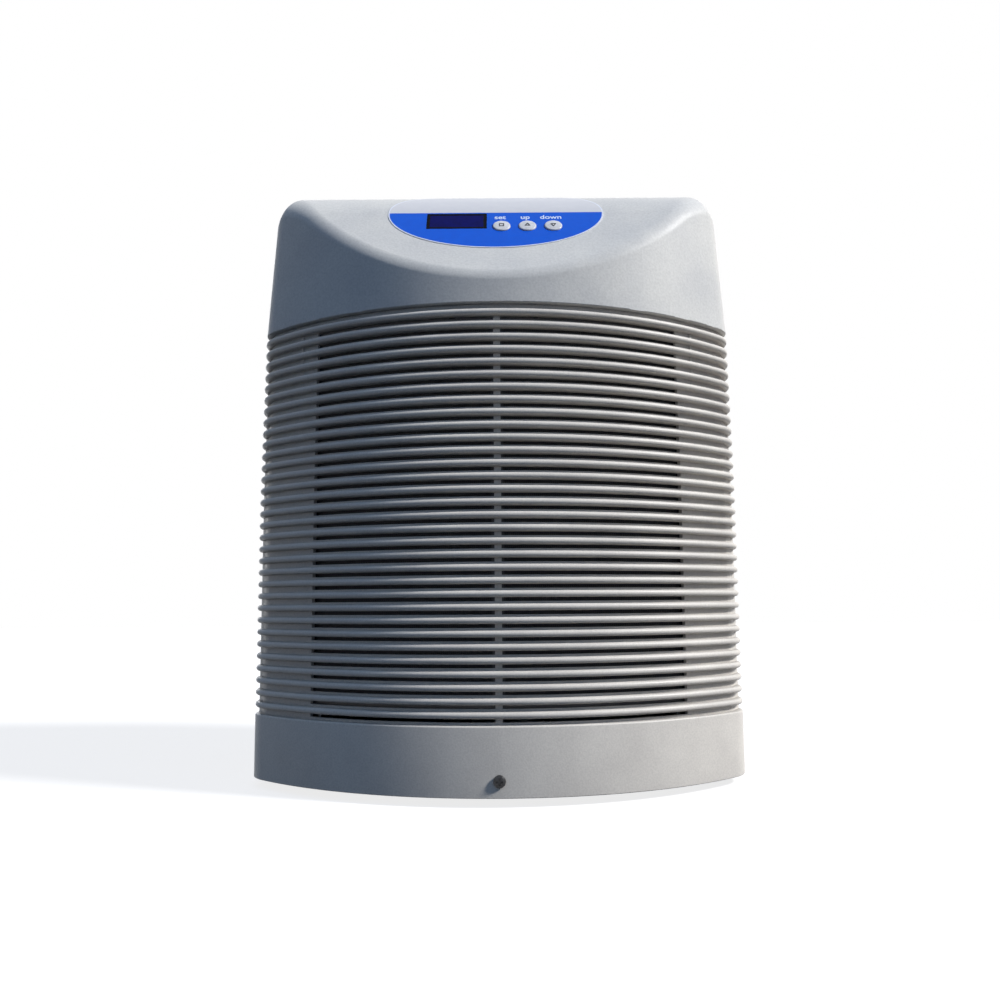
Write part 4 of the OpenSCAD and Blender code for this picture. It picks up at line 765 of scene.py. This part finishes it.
# distances to the cap's faces, negative inside, for rows of points
def capField(p):
    y, z = p[:, 1], p[:, 2]
    slope = math.radians(facet["deg"])
    # plan view, narrower with height so that the sides lean inwards
    u, r = cap["u"], plan["cornerR"]
    halfW = plan["halfW"] - u
    leaning = (z - plan["capZ"]) * math.tan(math.radians(cap["leanDeg"]))
    x = np.abs(p[:, 0]) * halfW / (halfW - leaning)
    fromArc = np.hypot(x, y - plan["arcY"]) - (plan["frontR"] - u)
    fromCorner = np.hypot(x - plan["cornerX"], y - plan["cornerY"]) - (r - u)
    side = x - halfW
    swing = np.degrees(np.arctan2(x, plan["arcY"] - y))
    front = np.where(swing <= plan["cornerDeg"], fromArc, np.where(y > plan["cornerY"], side, fromCorner))
    b = plan["backCornerR"] - u
    bx, by = x - (halfW - b), y - (plan["backY"] - u - b)
    back = np.minimum(np.maximum(bx, by), 0) + np.hypot(np.maximum(bx, 0), np.maximum(by, 0)) - b
    planView = np.where(y > 0, back, front)
    # facet, roll and top seen from the side
    angle = np.degrees(np.arctan2(-(y - facet["rollY"]), z - facet["rollZ"]))
    facetLine = -(y - facet["midY"]) * math.sin(slope) + (z - facet["midZ"]) * math.cos(slope)
    roll = np.hypot(y - facet["rollY"], z - facet["rollZ"]) - facet["rollR"]
    top = z - plan["topZ"]
    hood = np.where(angle > facet["deg"], facetLine, np.where(angle > 0, roll, top))
    hood = np.where(y > facet["rollY"], top, hood)
    return planView, hood


def roundMax(a, b, r):
    return np.minimum(np.maximum(a, b), -r) + np.hypot(np.maximum(r + a, 0), np.maximum(r + b, 0))


def gradient(function, p, step):
    changes = [np.subtract(function(p + m), function(p - m)) / (2 * step) for m in np.eye(3) * step]
    return np.stack(changes, -1)


# the skin's outward directions at rows of points
def skinDirections(p):
    normals = gradient(capSkin, p, cap["probe"])
    return normals / np.linalg.norm(normals, axis=1)[:, None]


def vertexSpots(mesh):
    spots = np.empty(len(mesh.vertices) * 3)
    mesh.vertices.foreach_get("co", spots)
    return spots.reshape(-1, 3)


# the edge is rounded the more, the more its two faces turn away from each other
def capSkin(p):
    planView, hood = capField(p)
    nPlan, nHood = gradient(capField, p, cap["probe"])
    turned = 1 - np.clip((nHood * nPlan).sum(1), 0, 1)
    back = np.clip(p[:, 1] / cap["backSpan"], 0, 1)
    r = (cap["edgeR"] + (cap["backR"] - cap["edgeR"]) * back) * turned ** cap["edgePower"] + cap["leastR"]
    return np.maximum(roundMax(planView, hood, r), plan["capZ"] - cap["lowest"] - p[:, 2])


# moves every vertex along its ray from the middle onto the skin
def ontoSkin(obj, middle):
    mesh = obj.data
    ray = vertexSpots(mesh) - middle
    ray /= np.linalg.norm(ray, axis=1)[:, None]
    low, high = np.zeros(len(ray)), np.full(len(ray), cap["rayLength"])
    for i in range(cap["halvings"]):
        half = (low + high) / 2
        inside = capSkin(middle + ray * half[:, None]) < 0
        low, high = np.where(inside, half, low), np.where(inside, high, half)
    spots = middle + ray * low[:, None]
    mesh.vertices.foreach_set("co", spots.reshape(-1))
    mesh.update()
    return spots


# subdivides where the skin bends, then puts the new vertices on it
def refineSkin(obj, middle):
    limit = math.cos(math.radians(cap["refineDeg"]))
    for i in range(cap["rounds"]):
        normals = skinDirections(ontoSkin(obj, middle))
        openEdit(obj)
        mesh = bmesh.from_edit_mesh(obj.data)
        for face in mesh.faces:
            held = normals[[vert.index for vert in face.verts]]
            face.select_set(float((held @ held.T).min()) < limit and face.calc_area() > cap["smallest"])
        bmesh.update_edit_mesh(obj.data)
        bpy.ops.mesh.subdivide(number_cuts=1)
        closeEdit()
    ontoSkin(obj, middle)


# the skin's own normals for the faces that lie on it, so that its soft edges shade evenly
def skinNormals(obj):
    mesh = obj.data
    spots = vertexSpots(mesh)
    onSkin = np.abs(capSkin(spots)) < cap["onSkin"]
    normals = skinDirections(spots)
    corners = np.empty(len(mesh.loops) * 3)
    mesh.corner_normals.foreach_get("vector", corners)
    corners = corners.reshape(-1, 3)
    for poly in mesh.polygons:
        held = list(poly.vertices)
        if onSkin[held].all() and (normals[held] @ np.array(poly.normal)).min() > cap["facing"]:
            corners[list(poly.loop_indices)] = normals[held]
    mesh.normals_split_custom_set([tuple(c) for c in corners])


facetPlace = (Matrix.Translation((0, facet["midY"], facet["midZ"]))
              @ Matrix.Rotation(math.radians(facet["deg"]), 4, "X"))


# holes for the window and the buttons, square to the facet
def panelCutters(reach, onFacet=True):
    gap = window["gap"]
    cutters = [start(bpy.ops.mesh.primitive_cube_add, size=1, location=(window["x"], window["y"], 0))]
    cutters[0].scale = (window["w"] + 2 * gap, window["h"] + 2 * gap, reach)
    for x, y in keys["spots"]:
        cutters.append(start(bpy.ops.mesh.primitive_cylinder_add, vertices=keys["holeSides"],
                             radius=keys["r"] + keys["gap"], depth=reach, location=(x, y, 0)))
    merged = joinInto(cutters[0], cutters[1:])
    if onFacet:
        merged.matrix_world = facetPlace @ merged.matrix_world
    settle(merged)
    return merged


# the dark border round the pane, frame wide, is painted shade of the window's recess
window = {
    "x": -0.0284, "y": -0.0113, "w": 0.0435, "h": 0.020, "top": 0.0004, "thick": 0.0026, "gap": 0.00015,
    "frame": 0.0019, "edge": 0.0002, "edgeSteps": 2, "edgesIn": 1.5, "sunk": 0.00012, "facing": 0.9,
    "smoothDeg": 8,
}
keys = {
    "spots": ((0.0042, -0.0185), (0.0229, -0.0185), (0.0416, -0.0185)), "holeSides": 64, "gap": 0.0002,
    "r": 0.0064, "top": 0.0016, "dome": 0.00028, "domeSteps": 4, "edge": 0.0008, "edgeSteps": 5,
    "flange": 0.0011, "flangeT": 0.001, "stemR": 0.0016, "stemLow": -0.0086, "under": -0.0029,
    "around": 48, "smoothDeg": 40, "markR": 0.0026, "markLine": 0.0007, "markLow": 0.0013,
    "markTop": 0.00178, "markBend": 0.0005, "markSteps": 4,
}


def makeCap():
    low, thick = plan["capZ"], cap["thick"]
    middle = np.array([0, cap["middleY"], low + cap["lowest"]])
    shell = start(bpy.ops.mesh.primitive_cube_add, size=1, location=middle)
    shell.scale = cap["block"]
    settle(shell)
    openEdit(shell, "FACE", "SELECT")
    bpy.ops.mesh.subdivide(number_cuts=cap["cuts"])
    closeEdit()
    refineSkin(shell, middle)
    openEdit(shell, "FACE", "SELECT")
    bpy.ops.mesh.bisect(plane_co=(0, 0, low), plane_no=(0, 0, 1), clear_inner=True)
    closeEdit()
    wall = shell.modifiers.new("wall", "SOLIDIFY")
    wall.thickness = thick
    wall.offset = -1
    applyAll(shell)

    def outerRim(edge):
        if not atHeight(edge, low) or all(face.normal.z <= cap["underside"] for face in edge.link_faces):
            return False
        return abs(float(capSkin(np.array([edge.verts[0].co]))[0])) < cap["rimReach"]
    openEdit(shell, "EDGE")
    pickEdges(shell, outerRim)
    bpy.ops.mesh.bevel(offset=cap["lowBevel"], segments=cap["bevelSteps"], affect="EDGES")
    closeEdit()
    cutWith(shell, [panelCutters(cap["reach"])])
    flangeTop, lipU, deep = low + cap["flangeT"], cap["lipU"], cap["pillarDeep"]
    extras = [ringWall("lip", lipU, cap["lipT"], low - cap["lipH"], flangeTop),
              ringWall("shelf", cap["u"] + thick / 2, lipU - cap["u"], low + cap["shelfGap"], flangeTop)]
    for x, y in cap["pillarSpots"]:
        pillar = start(bpy.ops.mesh.primitive_cylinder_add, vertices=roundSides, radius=cap["pillarR"],
                       depth=deep - thick / 2)
        pillar.matrix_world = facetPlace @ Matrix.Translation((x, y, -(deep + thick / 2) / 2))
        extras.append(pillar)
    for x in (-cap["lugX"], cap["lugX"]):
        extras.append(start(bpy.ops.mesh.primitive_cylinder_add, vertices=roundSides, radius=cap["lugR"],
                            depth=cap["lugD"], rotation=(math.radians(90), 0, 0),
                            location=(x, plan["backY"] - lipU - cap["lugD"] / 2, cap["lugZ"])))
    joinInto(shell, extras)
    smooth(shell, cap["smoothDeg"])
    skinNormals(shell)
    return place(shell, "cap", "housing", ["top_cap"], materials["cap_plastic"])


makeCap()
print("cap made")


label = {
    "w": 0.158, "h": 0.092, "thick": 0.0004, "rim": 0.0009, "steps": (112, 66), "rimSoft": 0.003,
    "lineSoft": 0.0001, "over": 1.02, "cutDeep": 0.01, "round": 192, "smoothDeg": 30, "gloss": 0.1,
    "patchDetail": 3.0, "patchEnds": (0.3, 0.7),
}


# lays a flat piece, drawn from the label's middle, on the facet and the roll above it
def drape(obj):
    r = facet["rollR"]
    for vert in obj.data.vertices:
        x, y, n = vert.co
        if y > 0:
            a = math.asin(min(y / r, 1.0))
            y, n = (r + n) * math.sin(a), (r + n) * math.cos(a) - r
        vert.co = facetPlace @ Vector((x, y, n))


# fields of the label, told apart by the flat place kept in its uv map, in metres
def makeLabelFinish():
    material, tree, shader, spot = newFinish("label", Specular_IOR_Level=label["gloss"])
    flat = addNode(tree, "UVMap", uv_map="flat").outputs["UV"]
    part = addNode(tree, "SeparateXYZ")
    tree.links.new(flat, part.inputs[0])
    inner = stretched(tree, flat, (2 / (label["w"] - 2 * label["rim"]),
                                   2 / (label["h"] - 2 * label["rim"]), 1))
    reach = addNode(tree, "VectorMath", operation="LENGTH")
    tree.links.new(inner, reach.inputs[0])
    onRim = remap(tree, reach.outputs["Value"], 0.0, 1.0, 1 - label["rimSoft"], 1 + label["rimSoft"])
    above = remap(tree, part.outputs["Y"], 0.0, 1.0, -label["lineSoft"], label["lineSoft"])
    patches = noise(tree, spot, filmGrain["patch"], label["patchDetail"])
    blue, grey, rim = [ramp(tree, patches, bands(label["patchEnds"], (look["deep"], look["light"])))
                       for look in (films["labelBlue"], films["labelGrey"], films["labelRim"])]
    fields = mixColour(tree, above, blue, grey)
    tree.links.new(mixColour(tree, onRim, fields, rim), shader.inputs["Base Color"])
    tree.links.new(remap(tree, patches, *films["labelBlue"]["rough"]), shader.inputs["Roughness"])
    fine = noise(tree, spot, filmGrain["grain"])
    tree.links.new(bump(tree, fine, filmGrain["grainDepth"]), shader.inputs["Normal"])
    return material


def makeLabel():
    across, up = label["steps"]
    sheet = start(bpy.ops.mesh.primitive_grid_add, x_subdivisions=across, y_subdivisions=up, size=1)
    sheet.scale = (label["w"] * label["over"], label["h"] * label["over"], 1)
    settle(sheet)
    openEdit(sheet, "FACE", "SELECT")
    pull((0, 0, label["thick"]))
    closeEdit()
    weld(sheet)
    oval = start(bpy.ops.mesh.primitive_cylinder_add, vertices=label["round"], radius=0.5,
                 depth=label["cutDeep"])
    oval.scale = (label["w"], label["h"], 1)
    cutWith(sheet, [oval], "INTERSECT")
    cutWith(sheet, [panelCutters(label["cutDeep"], False)])
    flat = sheet.data.uv_layers.new(name="flat")
    for loop in sheet.data.loops:
        spot = sheet.data.vertices[loop.vertex_index].co
        flat.data[loop.index].uv = (spot.x, spot.y)
    drape(sheet)
    smooth(sheet, label["smoothDeg"])
    return place(sheet, "panelLabel", "housing", ["panel_overlay"], makeLabelFinish())


makeLabel()
print("label made")


def makeWindow():
    glass = start(bpy.ops.mesh.primitive_cube_add, size=1,
                  location=(window["x"], window["y"], window["top"] - window["thick"] / 2))
    glass.scale = (window["w"], window["h"], window["thick"])
    settle(glass)
    openEdit(glass, "EDGE")
    pickEdges(glass, lambda edge: all(vert.co.z > window["top"] - near["pick"] for vert in edge.verts))
    bpy.ops.mesh.bevel(offset=window["edge"], segments=window["edgeSteps"], affect="EDGES")
    closeEdit()
    openEdit(glass)
    pickFaces(glass, lambda centre, normal: normal.z > window["facing"])
    bpy.ops.mesh.inset(thickness=window["frame"], depth=0)
    bpy.ops.mesh.inset(thickness=window["edge"], depth=-window["sunk"])
    closeEdit()
    # the first material, near black, paints the shade of the recess on the border round the pane and on the
    # sides; the second is the pane
    glass.data.materials.append(materials["windowShadeBorder"])
    glass.data.materials.append(materials["windowGlass"])
    paneX = window["w"] / 2 - window["frame"] - window["edge"] * window["edgesIn"]
    paneY = window["h"] / 2 - window["frame"] - window["edge"] * window["edgesIn"]
    for face in glass.data.polygons:
        onPane = abs(face.center.x - window["x"]) < paneX and abs(face.center.y - window["y"]) < paneY
        face.material_index = 1 if onPane and face.normal.z > window["facing"] else 0
    glass.matrix_world = facetPlace
    smooth(glass, window["smoothDeg"])
    return place(glass, "displayGlass", "housing", ["display_window"])


makeWindow()


# a line figure of a few sides, raised on a button
def makeMark(sides, turn, spot):
    mark = start(bpy.ops.mesh.primitive_circle_add, vertices=sides, radius=keys["markR"],
                 fill_type="NGON", location=(*spot, keys["markLow"]), rotation=(0, 0, math.radians(turn)))
    openEdit(mark, "VERT", "SELECT")
    bpy.ops.mesh.bevel(offset=keys["markBend"], segments=keys["markSteps"], affect="VERTICES")
    closeEdit()
    openEdit(mark, "FACE", "SELECT")
    bpy.ops.mesh.inset(thickness=keys["markLine"], depth=0)
    bpy.ops.mesh.delete(type="FACE")
    bpy.ops.mesh.select_all(action="SELECT")
    pull((0, 0, keys["markTop"] - keys["markLow"]))
    closeEdit()
    settle(mark)
    weld(mark, near["fineMerge"])
    mark.data.materials.append(materials["markInk"])
    return mark


def makeKey(name, body, node, spot, sides, turn):
    r, top, edge = keys["r"], keys["top"], keys["edge"]
    points = [(0, top)]
    for i in range(1, keys["domeSteps"] + 1):
        out = (r - edge) * i / keys["domeSteps"]
        points.append((out, top - keys["dome"] * (out / (r - edge)) ** 2))
    rimTop = points[-1][1]
    for i in range(1, keys["edgeSteps"] + 1):
        a = math.radians(90 * i / keys["edgeSteps"])
        points.append((r - edge + edge * math.sin(a), rimTop - edge + edge * math.cos(a)))
    under, flange, stemR = keys["under"], r + keys["flange"], keys["stemR"]
    flangeLow = under - keys["flangeT"]
    points += [(r, under), (flange, under), (flange, flangeLow), (stemR, flangeLow),
               (stemR, keys["stemLow"]), (0, keys["stemLow"])]
    key = drawProfile(name, [(x, 0, z) for x, z in points])
    openEdit(key, "EDGE", "SELECT")
    bpy.ops.mesh.spin(steps=keys["around"], angle=2 * math.pi, center=(0, 0, 0), axis=(0, 0, 1))
    closeEdit()
    weld(key, near["keyMerge"])
    for vert in key.data.vertices:
        vert.co += Vector((*spot, 0))
    key.data.materials.append(materials["button"])
    joinInto(key, [makeMark(sides, turn, spot)])
    key.matrix_world = facetPlace @ key.matrix_world
    smooth(key, keys["smoothDeg"])
    return place(key, name, body, [node])


makeKey("setKey", "set_key", "button_set", keys["spots"][0], 4, 45)
makeKey("upKey", "up_key", "button_up", keys["spots"][1], 3, 0)
makeKey("downKey", "down_key", "button_down", keys["spots"][2], 3, 180)

words = {"size": 0.0070, "y": -0.0089, "thick": 0.00005, "bold": 0.00014,
         "spots": {"set": 0.0032, "up": 0.0215, "down": 0.0402}}


def makeWord(text, x):
    bpy.ops.object.select_all(action="DESELECT")
    bpy.ops.object.text_add(location=(0, 0, 0))
    word = bpy.context.object
    word.data.body = text
    word.data.size = words["size"]
    word.data.align_x = "CENTER"
    word.data.extrude = words["thick"]
    word.data.offset = words["bold"]
    bpy.ops.object.convert(target="MESH")
    word = bpy.context.object
    height = label["thick"] + words["thick"] / 2
    word.matrix_world = facetPlace @ Matrix.Translation((x, words["y"], height))
    return place(word, "word." + text, "housing", (), materials["wordInk"])


for text, x in words["spots"].items():
    makeWord(text, x)
print("window, buttons and words made")

# a camera fitted to the photograph's view
shot = {"lens": 31.21, "sensor": 36.0, "spot": (0.0, -0.7199, 0.1303), "tilt": 96.176, "roll": -0.39,
        "shift": (0.0023, 0.0076)}
cameraData = bpy.data.cameras.new("camera")
cameraData.lens = shot["lens"]
cameraData.sensor_width = shot["sensor"]
cameraData.shift_x, cameraData.shift_y = shot["shift"]
cameraObject = bpy.data.objects.new("camera", cameraData)
cameraObject.matrix_world = (Matrix.Translation(shot["spot"])
                             @ Matrix.Rotation(math.radians(shot["tilt"]), 4, "X")
                             @ Matrix.Rotation(math.radians(shot["roll"]), 4, "Z"))
bpy.context.scene.collection.objects.link(cameraObject)
bpy.context.scene.camera = cameraObject

# a warm key from the right, a wide bluish sky in front, a weak light behind, and a bluish room
lights = {
    "key": {"towards": (0.757, -0.217, 0.616), "strength": 4.25, "angle": 9, "colour": (1.0, 0.985, 0.955)},
    "sky": {"towards": (-0.05, -0.62, 0.78), "strength": 0.68, "angle": 120, "colour": (0.42, 0.64, 1.0)},
    "back": {"towards": (-0.30, 0.93, 0.20), "strength": 0.8, "angle": 40, "colour": (0.95, 0.97, 1.0)},
}
room = {"ambient": (0.018, 0.032, 0.060, 1.0), "white": (1.0, 1.0, 1.0, 1.0)}
floorLook = {"size": 8.0, "glow": 0.80, "seen": (0.34, 0.34, 0.35, 1.0), "light": (44, 45, 48),
             "deep": (38, 39, 42), "patch": 3, "ends": (0.3, 0.7)}
for name, lamp in lights.items():
    sun = bpy.data.lights.new(name, "SUN")
    sun.energy = lamp["strength"]
    sun.angle = math.radians(lamp["angle"])
    sun.color = lamp["colour"]
    holder = bpy.data.objects.new(name, sun)
    holder.rotation_euler = Vector(lamp["towards"]).to_track_quat("Z", "Y").to_euler()
    bpy.context.scene.collection.objects.link(holder)


# true for what the camera sees, directly or through gloss and glass
def seenRays(tree):
    path = addNode(tree, "LightPath")
    seen = maths(tree, "MAXIMUM", path.outputs["Is Camera Ray"], path.outputs["Is Glossy Ray"])
    return maths(tree, "MAXIMUM", seen, path.outputs["Is Transmission Ray"])


world = bpy.data.worlds.new("room")
bpy.context.scene.world = world
world.use_nodes = True
tree = world.node_tree
tree.nodes.clear()
sky = addNode(tree, "Background", {"Color": room["ambient"], "Strength": 1.0})
backdrop = addNode(tree, "Background", {"Color": room["white"], "Strength": 1.0})
either = addNode(tree, "MixShader")
out = addNode(tree, "OutputWorld")
tree.links.new(seenRays(tree), either.inputs[0])
tree.links.new(sky.outputs[0], either.inputs[1])
tree.links.new(backdrop.outputs[0], either.inputs[2])
tree.links.new(either.outputs[0], out.inputs["Surface"])

# the floor is dark to the light on it and bright to the camera
floor = start(bpy.ops.mesh.primitive_plane_add, size=floorLook["size"], location=(0, 0, 0))
floor.name = "floor"
material = bpy.data.materials.new("floor")
material.use_nodes = True
tree = material.node_tree
tree.nodes.clear()
spot = addNode(tree, "TexCoord").outputs["Object"]
matte = addNode(tree, "BsdfDiffuse")
patches = noise(tree, spot, floorLook["patch"])
shades = ramp(tree, patches, bands(floorLook["ends"], (floorLook["deep"], floorLook["light"])))
tree.links.new(shades, matte.inputs["Color"])
glow = addNode(tree, "Emission", {"Strength": floorLook["glow"]})
both = addNode(tree, "AddShader")
either = addNode(tree, "MixShader")
out = addNode(tree, "OutputMaterial")
seenMatte = addNode(tree, "BsdfDiffuse", {"Color": floorLook["seen"]})
tree.links.new(seenMatte.outputs[0], both.inputs[0])
tree.links.new(glow.outputs[0], both.inputs[1])
tree.links.new(seenRays(tree), either.inputs[0])
tree.links.new(matte.outputs[0], either.inputs[1])
tree.links.new(both.outputs[0], either.inputs[2])
tree.links.new(either.outputs[0], out.inputs["Surface"])
floor.data.materials.append(material)

bpy.context.scene.view_settings.view_transform = "Standard"
print("camera, lights and floor set")
